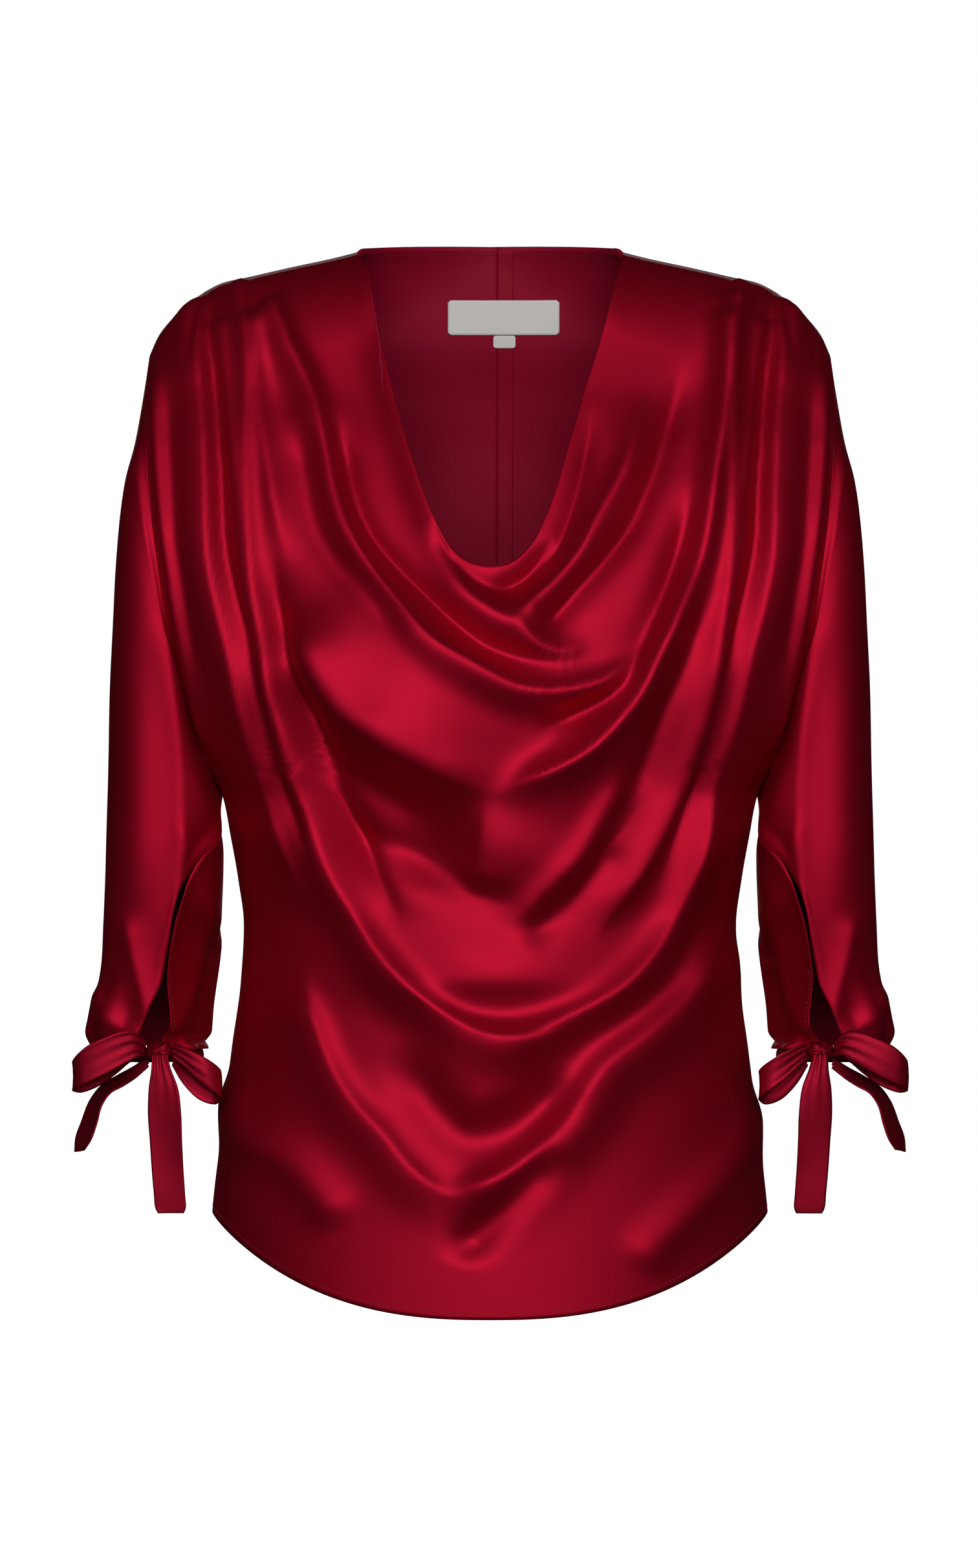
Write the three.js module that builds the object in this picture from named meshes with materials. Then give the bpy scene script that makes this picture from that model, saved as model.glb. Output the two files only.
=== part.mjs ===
// A cowl-neck blouse in satin, filled out as it is worn, in millimetres with +Z up.
// The wearer faces -Y, so their right side is at -X. The origin is midway between the two
// high points of the shoulders, where the collar of a neck would start.
// Every cloth piece is a thin wall: an outer face worked out from sections, folds and seams,
// and an inner face one wall thickness behind it.
import * as THREE from 'three';

const WALL = 1.5;
const RIBBON_WALL = 1.2;
const LABEL_WALL = 1;
const SEAM_GAP = 0.3;
const REST_GAP = 0.3;

const SATIN = { color: 0x8f0a22, roughness: 0.35, metalness: 0, side: THREE.DoubleSide };
const RIBBON = { color: 0x860a20, roughness: 0.35, metalness: 0, side: THREE.DoubleSide };
const LABEL = { color: 0xbdb9b3, roughness: 0.8, metalness: 0, side: THREE.DoubleSide };

// Main sizes of the body
const NECK_HALF = 86;
const NECK_BACK_RISE = 9;
const NECK_SLOPE = 0.63;
const SHOULDER_ROUND = 60;
const UNDERARM_Z = -350;
const HEM_CORNER_Z = -617;
const HEM_FRONT_Z = -676;
const HEM_POWER = 2.6;
const BACK_SEAM_X = 5;
const MEAN_HALF_WIDTH = 200;

// Mesh density along each stretch
const SHOULDER_CELLS = 12;
const NECK_FRONT_CELLS = 22;
const NECK_BACK_CELLS = 4;
const ARMHOLE_CELLS = 10;
const SIDE_CELLS = 8;
const SLEEVE_ROWS = 16;
const FRONT_ROWS_PER_CELL = 2;

// Sections of the body: height, half width and depth in front, half width and depth at the back
const BODY_COLUMNS = ['z', 'frontWidth', 'frontDepth', 'backWidth', 'backDepth'];
const BODY = [
  [-690, 182, 122, 182, 120],
  [-620, 179, 120, 179, 116],
  [-560, 172, 117, 172, 110],
  [-510, 166, 114, 166, 102],
  [-470, 160.5, 112, 160.5, 96],
  [-433, 158.5, 112, 158.5, 92],
  [-404, 162, 116, 162, 92],
  [-375, 167, 121, 167, 94],
  [-350, 172, 124, 172, 96],
  [-325, 189, 126, 187, 98],
  [-304, 203, 128, 199, 100],
  [-278, 218, 129, 213, 102],
  [-245, 236, 126, 230, 104],
  [-207, 253, 118, 246, 104],
  [-170, 264, 106, 258, 100],
  [-130, 262, 90, 258, 94],
  [-90, 250, 70, 250, 82],
  [-50, 240, 56, 240, 66],
  [0, 240, 45, 240, 60],
  [40, 240, 40, 240, 58],
];

// The shoulder line, from the neck out to the sleeve head
const SHOULDER_COLUMNS = ['out', 'z'];
const SHOULDER = [
  [86, 0],
  [102, -4],
  [130, -10],
  [156, -16],
  [172, -19.5],
  [183, -25],
  [194, -33],
  [204, -42],
  [213, -53],
  [219, -66],
];

// The armhole edges of the front and the back, from the underarm up to the sleeve head
const ARMHOLE_COLUMNS = ['z', 'front', 'back'];
const ARMHOLE = [
  [-350, 172, 172],
  [-341, 176, 175],
  [-325, 182, 180],
  [-304, 190, 186],
  [-279, 196, 191],
  [-246, 204, 197],
  [-209, 209.5, 202],
  [-172, 214.5, 207],
  [-132, 218, 213],
  [-92, 219.5, 218],
  [-66, 219, 219],
];

// The cowl's front edge as it hangs, from the wearer's right to their left
const NECKLINE = [
  [-86, 0], [-78, -15], [-74, -43], [-67, -70], [-59, -106], [-47, -146], [-34, -180],
  [-25, -195], [-12, -204], [2, -206], [15, -203], [27, -191], [34, -177], [42, -156],
  [59, -96], [72, -54], [86, 0],
];

// Folds of the front. Each is a line of points across the cloth. left and right are its widths on
// either side of the way it runs, and start and end are the lengths over which it fades.
const FOLD_COLUMNS = ['name', 'rise', 'left', 'right', 'start', 'end', 'line'];
const PAIRED_FOLDS = [
  ['armholeRidge', 6, 15, 15, 25, 30,
    [[-212, -80], [-212, -121], [-208, -165], [-203, -206], [-194, -247], [-186, -283], [-177, -315]]],
  ['armholeTrough', -5, 15, 15, 30, 40,
    [[-203, -85], [-200, -140], [-197, -189], [-192, -217], [-183, -265]]],
  ['topPleat', 9, 15, 20, 5, 70,
    [[-184, -30], [-182, -86], [-177, -157], [-169, -230], [-155, -287], [-138, -338], [-110, -430]]],
  ['underTopPleat', -6, 15, 15, 5, 60,
    [[-181, -27], [-175, -87], [-169, -150], [-161, -218], [-145, -276], [-130, -330], [-104, -406]]],
  ['secondPleat', 6, 15, 15, 5, 90,
    [[-158, -22], [-153, -111], [-151, -180], [-146, -228], [-135, -280], [-128, -304]]],
  ['thirdPleat', 6, 15, 15, 12, 60,
    [[-148, -40], [-145, -105], [-135, -165], [-126, -215]]],
];
const FRONT_FOLDS = [
  ['rightPleatToLowCowl', 11, 15, 20, 60, 60,
    [[-144, -235], [-134, -284], [-121, -332], [-104, -380], [-82, -422], [-56, -460], [-34, -481],
      [6, -499], [54, -494]]],
  ['lowCowlTrough', -9, 15, 15, 60, 60,
    [[-134, -230], [-121, -285], [-104, -332], [-84, -384], [-52, -434]]],
  ['leftPleatToLowCowl', 11, 18, 15, 70, 60,
    [[142, -330], [130, -370], [112, -424], [80, -468], [50, -486], [14, -498], [-16, -496]]],
  ['leftInnerPleat', 8, 15, 18, 60, 60,
    [[148, -225], [137, -270], [122, -322], [98, -377], [74, -422], [60, -444]]],
  ['leftInnerTrough', -7, 15, 15, 40, 60,
    [[136, -215], [122, -268], [104, -312], [84, -360], [46, -424]]],
  ['secondCowl', 11, 15, 18, 10, 45,
    [[-142, -31], [-126, -64], [-110, -99], [-100, -138], [-88, -180], [-64, -220], [-33, -254],
      [1, -273], [35, -283], [70, -277], [97, -252]]],
  ['secondCowlTrough', -8, 15, 15, 40, 40,
    [[-100, -105], [-87, -160], [-62, -203], [-24, -240], [12, -262], [50, -266], [68, -260]]],
  ['besideSecondCowl', -5, 15, 15, 30, 30, [[-118, -110], [-106, -185], [-76, -222], [-46, -254]]],
  ['neckRoll', 9, 15, 16, 60, 30,
    [[-74, -40], [-56, -108], [-38, -166], [-24, -202], [-2, -233], [16, -243], [34, -259], [64, -254]]],
  ['leftNeckRidge', 8, 15, 15, 60, 20,
    [[96, -90], [86, -140], [66, -178], [42, -215], [20, -234], [8, -238]]],
  ['leftNeckTrough', -6, 15, 15, 40, 20,
    [[66, -100], [58, -145], [40, -198], [10, -219], [-4, -218]]],
  ['leftCowlTrough', -8, 15, 15, 50, 20,
    [[124, -70], [105, -140], [88, -180], [54, -221], [28, -250]]],
  ['pouch', 8, 18, 15, 40, 50,
    [[-121, -225], [-109, -270], [-84, -300], [-55, -321], [-27, -337], [14, -350]]],
  ['pouchTrough', -9, 15, 15, 40, 50,
    [[-126, -262], [-104, -318], [-64, -350], [-20, -374]]],
  ['thirdCowl', 9, 15, 15, 8, 60,
    [[156, -28], [148, -75], [144, -122], [136, -175], [121, -221], [100, -262], [78, -299], [40, -330],
      [0, -352]]],
  ['thirdCowlDrop', 9, 26, 15, 60, 40,
    [[130, -200], [111, -241], [91, -281], [59, -318], [20, -340], [0, -352]]],
  ['thirdCowlTrough', -9, 15, 15, 50, 30,
    [[128, -150], [114, -212], [93, -262], [66, -293], [26, -307]]],
  ['hollowEdge', 9, 24, 15, 20, 12, [[-2, -338], [-5, -375], [-12, -414]]],
  ['centreRidge', 6, 16, 15, 30, 30,
    [[92, -330], [58, -385], [24, -420], [6, -438]]],
  ['centreTrough', -5, 15, 15, 20, 20, [[84, -378], [50, -413], [20, -444]]],
  ['lowHollow', -8, 16, 16, 40, 30,
    [[-62, -502], [-34, -546], [-14, -562], [14, -556], [56, -524]]],
  ['fifthCowlRight', 9, 15, 20, 40, 40,
    [[-118, -455], [-105, -500], [-84, -541], [-50, -580], [-10, -602]]],
  ['fifthCowlLeft', 11, 22, 15, 40, 40,
    [[148, -430], [122, -476], [96, -500], [56, -541], [18, -582], [-34, -602]]],
  ['bottomHollow', -8, 15, 15, 30, 20,
    [[46, -566], [16, -598], [-12, -628], [-16, -644]]],
  ['sideDragRight', 5, 16, 16, 30, 20,
    [[-172, -520], [-160, -562], [-126, -580], [-90, -622]]],
  ['sideDragLeft', 5, 16, 16, 30, 20,
    [[172, -530], [160, -573], [124, -611], [88, -649]]],
];

// Broad swells of the front: the middle, the half size along the line that a swell leans on, the
// half sizes above and below that line, and its lean in degrees
const SWELL_COLUMNS = ['name', 'rise', 'x', 'z', 'along', 'above', 'below', 'lean'];
const FRONT_SWELLS = [
  ['pouch', 18, -60, -304, 60, 64, 40, -30],
  ['pouchShoulder', 9, -106, -264, 26, 38, 24, -50],
  ['hollowUnderPouch', -18, -52, -386, 46, 38, 16, -24],
  ['plateau', 6, 34, -388, 40, 34, 24, 0],
  ['lapOfLowCowl', 9, 4, -462, 66, 30, 18, 0],
  ['lapOfFifthCowl', 6, 0, -520, 30, 20, 34, 0],
];

// Softer folds of the back, on the wearer's left half and mirrored
const BACK_FOLDS = [
  ['bladeFold', 5, 22, 22, 20, 60, [[152, -50], [146, -160], [130, -260], [104, -360]]],
  ['innerFold', 4, 24, 24, 60, 60, [[58, -90], [52, -220], [64, -340], [82, -420]]],
  ['waistDrag', 4, 16, 16, 30, 50, [[160, -385], [122, -420], [70, -436], [30, -430]]],
  ['outerFlute', 6, 22, 22, 60, 10, [[118, -450], [124, -560], [128, -650]]],
  ['innerFlute', 5, 24, 24, 60, 10, [[52, -460], [50, -570], [48, -676]]],
];

// The sleeve's outer and inner lines as distance out and height, from the armhole down to the cuff
const SLEEVE_OUTER = [
  [219, -66], [225, -98], [230.6, -129], [235.6, -179], [238.5, -229], [241.5, -279], [243.5, -329],
  [246, -379], [248, -429], [249.8, -458], [253.5, -479], [257, -492], [259, -502], [255, -511],
];
const SLEEVE_INNER = [
  [172, -350], [172, -361], [169.8, -374], [167.4, -386], [165.8, -397], [166.6, -408], [169.8, -429],
  [173, -454],
  [177, -479], [180, -500], [182, -512],
];
// Sections down the sleeve: share of its length, depths before and behind its middle, the middle
// itself, and the angle of the underarm seam, which twists to the front at the cuff
const SLEEVE_SECTION_COLUMNS = ['along', 'front', 'back', 'middle', 'seamAngle', 'slitAngle'];
const SLEEVE_SECTIONS = [
  [0, 62, 66, 0, 180, 0],
  [0.25, 58, 62, -2, 156, 0],
  [0.5, 53, 56, -4, 136, 0],
  [0.7, 46, 48, -8, 122, 0],
  [0.82, 40, 42, -10, 115, 2],
  [0.93, 35, 36, -11, 108, 15],
  [1, 29, 30, -11, 106, 20],
];
const ARMHOLE_BLEND = 0.75;
const ARMHOLE_BLEND_POWER = 1.4;
const CUFF_GATHERS = 5;
const CUFF_GATHER_DEPTH = 1.6;
const CUFF_GATHER_FROM = 0.8;

// The ribbon band round the wrist
const BAND = { out: 218.5, y: -11, z: -512.6, halfOut: 35, halfDepth: 28.5, height: 7, cells: 20 };

// The bow. Rows down each ribbon: place of its middle, and its half width as out, y and z.
const KNOT = { out: 210, y: -48.2, z: -512, halfOut: 8.5, halfDepth: 8, halfHeight: 7.5, around: 14, up: 8 };
const BOW = {
  bow_loop_outer: [
    [218.7, -50, -510.5, 0, 0, 5], [225, -54, -507.5, 1, 0, 8], [233, -56.5, -509.5, 1.5, 0, 10],
    [243, -58, -514, 2, 0, 10.8], [253, -58, -519, 2, 0, 11], [261, -56, -524, 1, 0, 10],
    [265, -51.5, -528, 0, 0, 9], [261, -46.5, -529.5, 1, 0, 9], [250, -44.5, -525, 2, 0, 9],
    [238, -44.5, -518.5, 1, 0, 7.5], [228, -45.2, -513, 0, 0, 5.5], [218.7, -47, -511.5, 0, 0, 4],
  ],
  bow_loop_inner: [
    [201.2, -51, -512, 0, 0, 4.5], [195, -54, -515.5, 1, 0, 7], [187, -56.5, -521, 1.5, 0, 9.5],
    [179, -57, -526, 2, 0, 10.5], [172.5, -54, -531, 1, 0, 10], [171, -50, -534, 0, 0, 9],
    [175, -46.5, -537, 0, 0, 9], [184, -45, -534.5, -1, 0, 8.5], [193, -45, -526, -2, 0, 7],
    [201, -46.5, -517, -1, 0, 4],
  ],
  bow_tail_front: [
    [209.5, -56.6, -513.5, 4.5, 0, 0], [208.5, -58, -523, 6, 0, -0.5], [207, -58.5, -535, 9.3, 1, 0],
    [206.3, -58, -551, 10.6, 1.5, 0], [205.5, -57, -568, 10.3, 1, 0], [204.5, -56, -586, 10.1, 0, 0],
    [203.3, -55.5, -602, 9.9, -0.5, 0], [202.6, -55.2, -611, 9.7, -0.5, 0],
    [202.4, -55, -614.5, 8.2, -0.5, 0],
  ],
  bow_tail_outer: [
    [217.5, -46, -519, 0, 1, 3.5], [226, -43, -525.5, 1, 3, 3.5], [236, -38.5, -531.5, 2.5, 5.5, 3],
    [245, -37, -537, 3.5, 7.5, 2], [251.5, -37, -546, 4.5, 8, 1], [255.5, -38, -558, 5.5, 7.5, 0],
    [259, -38.5, -568, 5.5, 7, 0], [261.5, -39, -576, 3.5, 5, -1],
  ],
};

// The label and the size tab, on the inside of the back: middle, width, height
const LABEL_PLACE = { x: 9, z: -37, width: 73, height: 22.5, columns: 12, rows: 2 };
const TAB_PLACE = { x: 9.5, z: -52.6, width: 14.5, height: 8, columns: 3, rows: 1 };

const radians = THREE.MathUtils.degToRad;
const clamp = THREE.MathUtils.clamp;
const lerp = THREE.MathUtils.lerp;

function smoothStep(value) {
  const t = clamp(value, 0, 1);
  return t * t * (3 - 2 * t);
}

// A smooth curve through one column of a table against another, with no overshoot
function column(table, names, key, against = names[0]) {
  const rows = table.map((row) => [row[names.indexOf(against)], row[names.indexOf(key)]]);
  rows.sort((a, b) => a[0] - b[0]);
  const slopes = rows.map((row, i) => {
    if (i === 0 || i === rows.length - 1) return 0;
    const before = (row[1] - rows[i - 1][1]) / (row[0] - rows[i - 1][0]);
    const after = (rows[i + 1][1] - row[1]) / (rows[i + 1][0] - row[0]);
    return before * after <= 0 ? 0 : (2 * before * after) / (before + after);
  });
  const last = rows.length - 1;
  slopes[0] = (rows[1][1] - rows[0][1]) / (rows[1][0] - rows[0][0]);
  slopes[last] = (rows[last][1] - rows[last - 1][1]) / (rows[last][0] - rows[last - 1][0]);
  return (at) => {
    const x = clamp(at, rows[0][0], rows[last][0]);
    const i = Math.max(0, rows.findIndex((row, k) => k < last && x <= rows[k + 1][0]));
    const span = rows[i + 1][0] - rows[i][0];
    const t = (x - rows[i][0]) / span;
    const t2 = t * t;
    const t3 = t2 * t;
    return (2 * t3 - 3 * t2 + 1) * rows[i][1] + (t3 - 2 * t2 + t) * span * slopes[i]
      + (3 * t2 - 2 * t3) * rows[i + 1][1] + (t3 - t2) * span * slopes[i + 1];
  };
}

// Evenly spaced points on a smooth line through points in a plane
function spaced(points, count) {
  const places = points.map(([x, z]) => new THREE.Vector3(x, 0, z));
  const curve = new THREE.CatmullRomCurve3(places, false, 'centripetal');
  curve.arcLengthDivisions = 400;
  return curve.getSpacedPoints(count).map((p) => [p.x, p.z]);
}

const body = {
  frontWidth: column(BODY, BODY_COLUMNS, 'frontWidth'),
  frontDepth: column(BODY, BODY_COLUMNS, 'frontDepth'),
  backWidth: column(BODY, BODY_COLUMNS, 'backWidth'),
  backDepth: column(BODY, BODY_COLUMNS, 'backDepth'),
};
const shoulderHeight = column(SHOULDER, SHOULDER_COLUMNS, 'z');
const armholeFront = column(ARMHOLE, ARMHOLE_COLUMNS, 'front');
const armholeBack = column(ARMHOLE, ARMHOLE_COLUMNS, 'back');

// Height of the ridge that the cloth falls from: the shoulder line, and the neck's side inside it
function ridge(x) {
  const out = Math.abs(x);
  return out < NECK_HALF ? (NECK_HALF - out) * NECK_SLOPE : shoulderHeight(out);
}

function roundOver(x, z) {
  const drop = clamp((ridge(x) - z) / SHOULDER_ROUND, 0, 1);
  return Math.sqrt(1 - (1 - drop) ** 2);
}

// A point of the smooth body, facing: -1 for the front and 1 for the back
function bodyPoint(facing, angle, z) {
  const width = facing < 0 ? body.frontWidth(z) : body.backWidth(z);
  const depth = facing < 0 ? body.frontDepth(z) : body.backDepth(z);
  const x = width * Math.sin(angle);
  return new THREE.Vector3(x, facing * depth * Math.cos(angle) * roundOver(x, z), z);
}

function bodyNormal(facing, angle, z) {
  const step = 0.01;
  const across = bodyPoint(facing, angle + step, z).sub(bodyPoint(facing, angle - step, z));
  const up = bodyPoint(facing, angle, z + 1).sub(bodyPoint(facing, angle, z - 1));
  return across.cross(up).multiplyScalar(-facing).normalize();
}

function bodyAngle(facing, x, z) {
  const width = facing < 0 ? body.frontWidth(z) : body.backWidth(z);
  return Math.asin(clamp(x / width, -1, 1));
}

function readFolds(table) {
  return table.map((row) => {
    const fold = Object.fromEntries(FOLD_COLUMNS.map((name, i) => [name, row[i]]));
    fold.points = spaced(fold.line, fold.line.length * 4);
    fold.lengths = [0];
    for (let i = 1; i < fold.points.length; i += 1) {
      const [x0, z0] = fold.points[i - 1];
      const [x1, z1] = fold.points[i];
      fold.lengths.push(fold.lengths[i - 1] + Math.hypot(x1 - x0, z1 - z0));
    }
    return fold;
  });
}

function mirrorFolds(table) {
  return table.map(([name, rise, left, right, start, end, line]) => [
    `${name}Mirrored`, rise, right, left, start, end, line.map(([x, z]) => [-x, z]),
  ]);
}

// How far one fold lifts the cloth at a place
function foldRise(fold, x, z) {
  let nearest = Infinity;
  let side = 0;
  let along = 0;
  for (let i = 1; i < fold.points.length; i += 1) {
    const [x0, z0] = fold.points[i - 1];
    const [x1, z1] = fold.points[i];
    const length = fold.lengths[i] - fold.lengths[i - 1];
    const t = clamp(((x - x0) * (x1 - x0) + (z - z0) * (z1 - z0)) / (length * length), 0, 1);
    const away = Math.hypot(x - lerp(x0, x1, t), z - lerp(z0, z1, t));
    if (away < nearest) {
      nearest = away;
      side = (x1 - x0) * (z - z0) - (z1 - z0) * (x - x0);
      along = fold.lengths[i - 1] + t * length;
    }
  }
  const width = side > 0 ? fold.left : fold.right;
  const total = fold.lengths[fold.lengths.length - 1];
  const fade = smoothStep(along / fold.start) * smoothStep((total - along) / fold.end);
  return fold.rise * fade * Math.exp(-((nearest / width) ** 2));
}

const frontSwells = FRONT_SWELLS
  .map((row) => Object.fromEntries(SWELL_COLUMNS.map((name, i) => [name, row[i]])));

// How far one swell lifts the cloth at a place
function swellRise(swell, x, z) {
  const lean = radians(swell.lean);
  const u = (x - swell.x) * Math.cos(lean) + (z - swell.z) * Math.sin(lean);
  const v = (z - swell.z) * Math.cos(lean) - (x - swell.x) * Math.sin(lean);
  return swell.rise * Math.exp(-((u / swell.along) ** 2) - (v / (v > 0 ? swell.above : swell.below)) ** 2);
}

const frontFolds = readFolds([...PAIRED_FOLDS, ...mirrorFolds(PAIRED_FOLDS), ...FRONT_FOLDS]);
const backFolds = readFolds([...BACK_FOLDS, ...mirrorFolds(BACK_FOLDS)]);
const SEAM_FADE = 16;

// A point of the cloth: the smooth body, lifted by its folds, which die out at the seams
function clothPoint(facing, angle, z) {
  const point = bodyPoint(facing, angle, z);
  const edge = facing < 0 ? armholeFront(z) : armholeBack(z);
  const width = facing < 0 ? body.frontWidth(z) : body.backWidth(z);
  const toSide = z > UNDERARM_Z ? edge - Math.abs(point.x) : (Math.PI / 2 - Math.abs(angle)) * width;
  const toShoulder = Math.abs(point.x) < NECK_HALF ? SEAM_FADE : ridge(point.x) - z;
  const toMiddle = facing < 0 ? SEAM_FADE : Math.abs(point.x - BACK_SEAM_X);
  const fade = smoothStep(Math.min(toSide, toShoulder, toMiddle) / SEAM_FADE);
  if (fade === 0) return point;
  const folds = facing < 0 ? frontFolds : backFolds;
  const swells = facing < 0 ? frontSwells : [];
  const rise = folds.reduce((sum, fold) => sum + foldRise(fold, point.x, z), 0)
    + swells.reduce((sum, swell) => sum + swellRise(swell, point.x, z), 0);
  return point.addScaledVector(bodyNormal(facing, angle, z), rise * fade);
}

function lengthsAlong(points) {
  const sums = [0];
  for (let i = 1; i < points.length; i += 1) {
    const turn = (points[i][0] - points[i - 1][0]) * MEAN_HALF_WIDTH;
    sums.push(sums[i - 1] + Math.hypot(turn, points[i][1] - points[i - 1][1]));
  }
  return sums.map((sum) => sum / sums[sums.length - 1]);
}

// A grid of places between four edges, each a list of [angle, z]
function patch(top, bottom, left, right) {
  const us = lengthsAlong(top);
  const vs = lengthsAlong(left);
  return left.map((_, row) => top.map((__, col) => [0, 1].map((axis) => {
    const u = us[col];
    const v = vs[row];
    const corners = (1 - u) * (1 - v) * top[0][axis] + u * (1 - v) * top[top.length - 1][axis]
      + (1 - u) * v * bottom[0][axis] + u * v * bottom[bottom.length - 1][axis];
    return (1 - v) * top[col][axis] + v * bottom[col][axis]
      + (1 - u) * left[row][axis] + u * right[row][axis] - corners;
  })));
}

function halve(points, per) {
  const out = [];
  for (let i = 0; i < points.length - 1; i += 1) {
    for (let k = 0; k < per; k += 1) out.push(points[i].clone().lerp(points[i + 1], k / per));
  }
  return [...out, points[points.length - 1].clone()];
}

const shoulderPlaces = spaced([...SHOULDER].reverse(), SHOULDER_CELLS);
const armholeHeights = spaced([[0, -66], [0, UNDERARM_Z]], ARMHOLE_CELLS).map(([, z]) => z);
const sideHeights = spaced([[0, UNDERARM_Z], [0, HEM_CORNER_Z]], SIDE_CELLS).map(([, z]) => z);

function armholePoint(facing, side, z) {
  const edge = facing < 0 ? armholeFront(z) : armholeBack(z);
  return bodyPoint(facing, bodyAngle(facing, side * edge, z), z);
}

// Seam lines shared by the pieces on both sides of them
function seams(side) {
  return {
    shoulder: shoulderPlaces.map(([out, z]) => new THREE.Vector3(side * out, 0, z)),
    armholeFront: armholeHeights.map((z) => armholePoint(-1, side, z)),
    armholeBack: armholeHeights.map((z) => armholePoint(1, side, z)),
    side: sideHeights.map((z) => new THREE.Vector3(side * body.frontWidth(z), 0, z)),
  };
}

const seamLines = { [-1]: seams(-1), 1: seams(1) };

function hemPlace(angle) {
  const lift = (HEM_CORNER_Z - HEM_FRONT_Z) * Math.abs(Math.sin(angle)) ** HEM_POWER;
  return [angle, HEM_FRONT_Z + lift];
}

function place(facing, point) {
  return [bodyAngle(facing, point.x, point.z), point.z];
}

function sideEdge(facing, side, per) {
  const lines = seamLines[side];
  const armhole = facing < 0 ? lines.armholeFront : lines.armholeBack;
  return [...halve(armhole, per), ...halve(lines.side, per).slice(1)];
}

// A piece's outer face: rows of points, with its seam edges set exactly on the shared lines
function frontRows() {
  const neck = spaced(NECKLINE, NECK_FRONT_CELLS).map(([x, z]) => [bodyAngle(-1, x, z), z]);
  const right = seamLines[-1].shoulder;
  const left = [...seamLines[1].shoulder].reverse();
  const top = [...right.map((p) => place(-1, p)), ...neck.slice(1, -1), ...left.map((p) => place(-1, p))];
  const leftEdge = sideEdge(-1, -1, FRONT_ROWS_PER_CELL);
  const rightEdge = sideEdge(-1, 1, FRONT_ROWS_PER_CELL);
  const bottom = top.map((_, i) => hemPlace(lerp(-Math.PI / 2, Math.PI / 2, i / (top.length - 1))));
  const places = patch(top, bottom, leftEdge.map((p) => place(-1, p)), rightEdge.map((p) => place(-1, p)));
  const rows = places.map((row) => row.map(([angle, z]) => clothPoint(-1, angle, z)));
  rows.forEach((row, i) => {
    row[0] = leftEdge[i].clone();
    row[row.length - 1] = rightEdge[i].clone();
  });
  right.forEach((p, i) => { rows[0][i] = p.clone(); });
  left.forEach((p, i) => { rows[0][top.length - left.length + i] = p.clone(); });
  return rows;
}

function backRows(side) {
  const neckAngles = Array.from({ length: NECK_BACK_CELLS }, (_, i) => {
    const t = (i + 1) / NECK_BACK_CELLS;
    const x = lerp(side * NECK_HALF, BACK_SEAM_X, t);
    return [x, NECK_BACK_RISE * Math.sqrt(1 - (x / NECK_HALF) ** 2)];
  });
  const shoulder = seamLines[side].shoulder;
  const top = [...shoulder.map((p) => place(1, p)), ...neckAngles.map(([x, z]) => [bodyAngle(1, x, z), z])];
  const outerEdge = sideEdge(1, side, 1);
  const places = outerEdge.map((p) => place(1, p));
  const share = lengthsAlong(places);
  const middleTop = top[top.length - 1];
  const middleEdge = share.map((v) => {
    const z = lerp(middleTop[1], HEM_FRONT_Z, v);
    return [bodyAngle(1, BACK_SEAM_X, z), z];
  });
  const across = lengthsAlong(top);
  const middleBottom = middleEdge[middleEdge.length - 1][0];
  const bottom = across.map((u) => hemPlace(lerp((side * Math.PI) / 2, middleBottom, u)));
  const rows = patch(top, bottom, places, middleEdge)
    .map((row) => row.map(([angle, z]) => clothPoint(1, angle, z)));
  rows.forEach((row, i) => { row[0] = outerEdge[i].clone(); });
  shoulder.forEach((p, i) => { rows[0][i] = p.clone(); });
  return rows;
}

function lineAt(points) {
  const places = points.map(([out, z]) => new THREE.Vector3(out, 0, z));
  const curve = new THREE.CatmullRomCurve3(places, false, 'centripetal');
  curve.arcLengthDivisions = 400;
  return (t) => curve.getPointAt(clamp(t, 0, 1));
}

const sleeve = Object.fromEntries(SLEEVE_SECTION_COLUMNS.slice(1)
  .map((name) => [name, column(SLEEVE_SECTIONS, SLEEVE_SECTION_COLUMNS, name)]));
const sleeveOuter = lineAt(SLEEVE_OUTER);
const sleeveInner = lineAt(SLEEVE_INNER);

function sleevePoint(side, along, angle, grow = 0) {
  const outer = sleeveOuter(along);
  const inner = sleeveInner(along);
  const middle = outer.clone().add(inner).multiplyScalar(0.5);
  const half = outer.clone().sub(inner).multiplyScalar(0.5);
  const reach = 1 + grow / half.length();
  const depth = (Math.sin(angle) > 0 ? sleeve.front(along) : sleeve.back(along)) + grow;
  return new THREE.Vector3(
    side * (middle.x + half.x * reach * Math.cos(angle)),
    sleeve.middle(along) - depth * Math.sin(angle),
    middle.z + half.z * reach * Math.cos(angle),
  );
}

// One side's sleeve. Its columns run from the underarm seam over the front, the head and the back.
function sleeveRows(side) {
  const lines = seamLines[side];
  const armhole = [...[...lines.armholeFront].reverse(), ...lines.armholeBack.slice(1)];
  const columns = armhole.length - 1;
  const fitted = armhole.map((p, i) => {
    const angle = Math.PI - (2 * Math.PI * i) / columns;
    return p.clone().sub(sleevePoint(side, 0, angle));
  });
  return Array.from({ length: SLEEVE_ROWS + 1 }, (_, row) => {
    const along = row / SLEEVE_ROWS;
    const seam = radians(sleeve.seamAngle(along));
    const slit = radians(sleeve.slitAngle(along));
    const blend = clamp(1 - along / ARMHOLE_BLEND, 0, 1) ** ARMHOLE_BLEND_POWER;
    const gather = smoothStep((along - CUFF_GATHER_FROM) / (1 - CUFF_GATHER_FROM)) * CUFF_GATHER_DEPTH;
    return armhole.map((_p, i) => {
      const angle = seam - slit - ((2 * Math.PI - slit) * i) / columns;
      const grow = gather * Math.cos((2 * Math.PI * CUFF_GATHERS * i) / columns);
      return sleevePoint(side, along, angle, grow).addScaledVector(fitted[i], blend);
    });
  });
}

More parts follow.
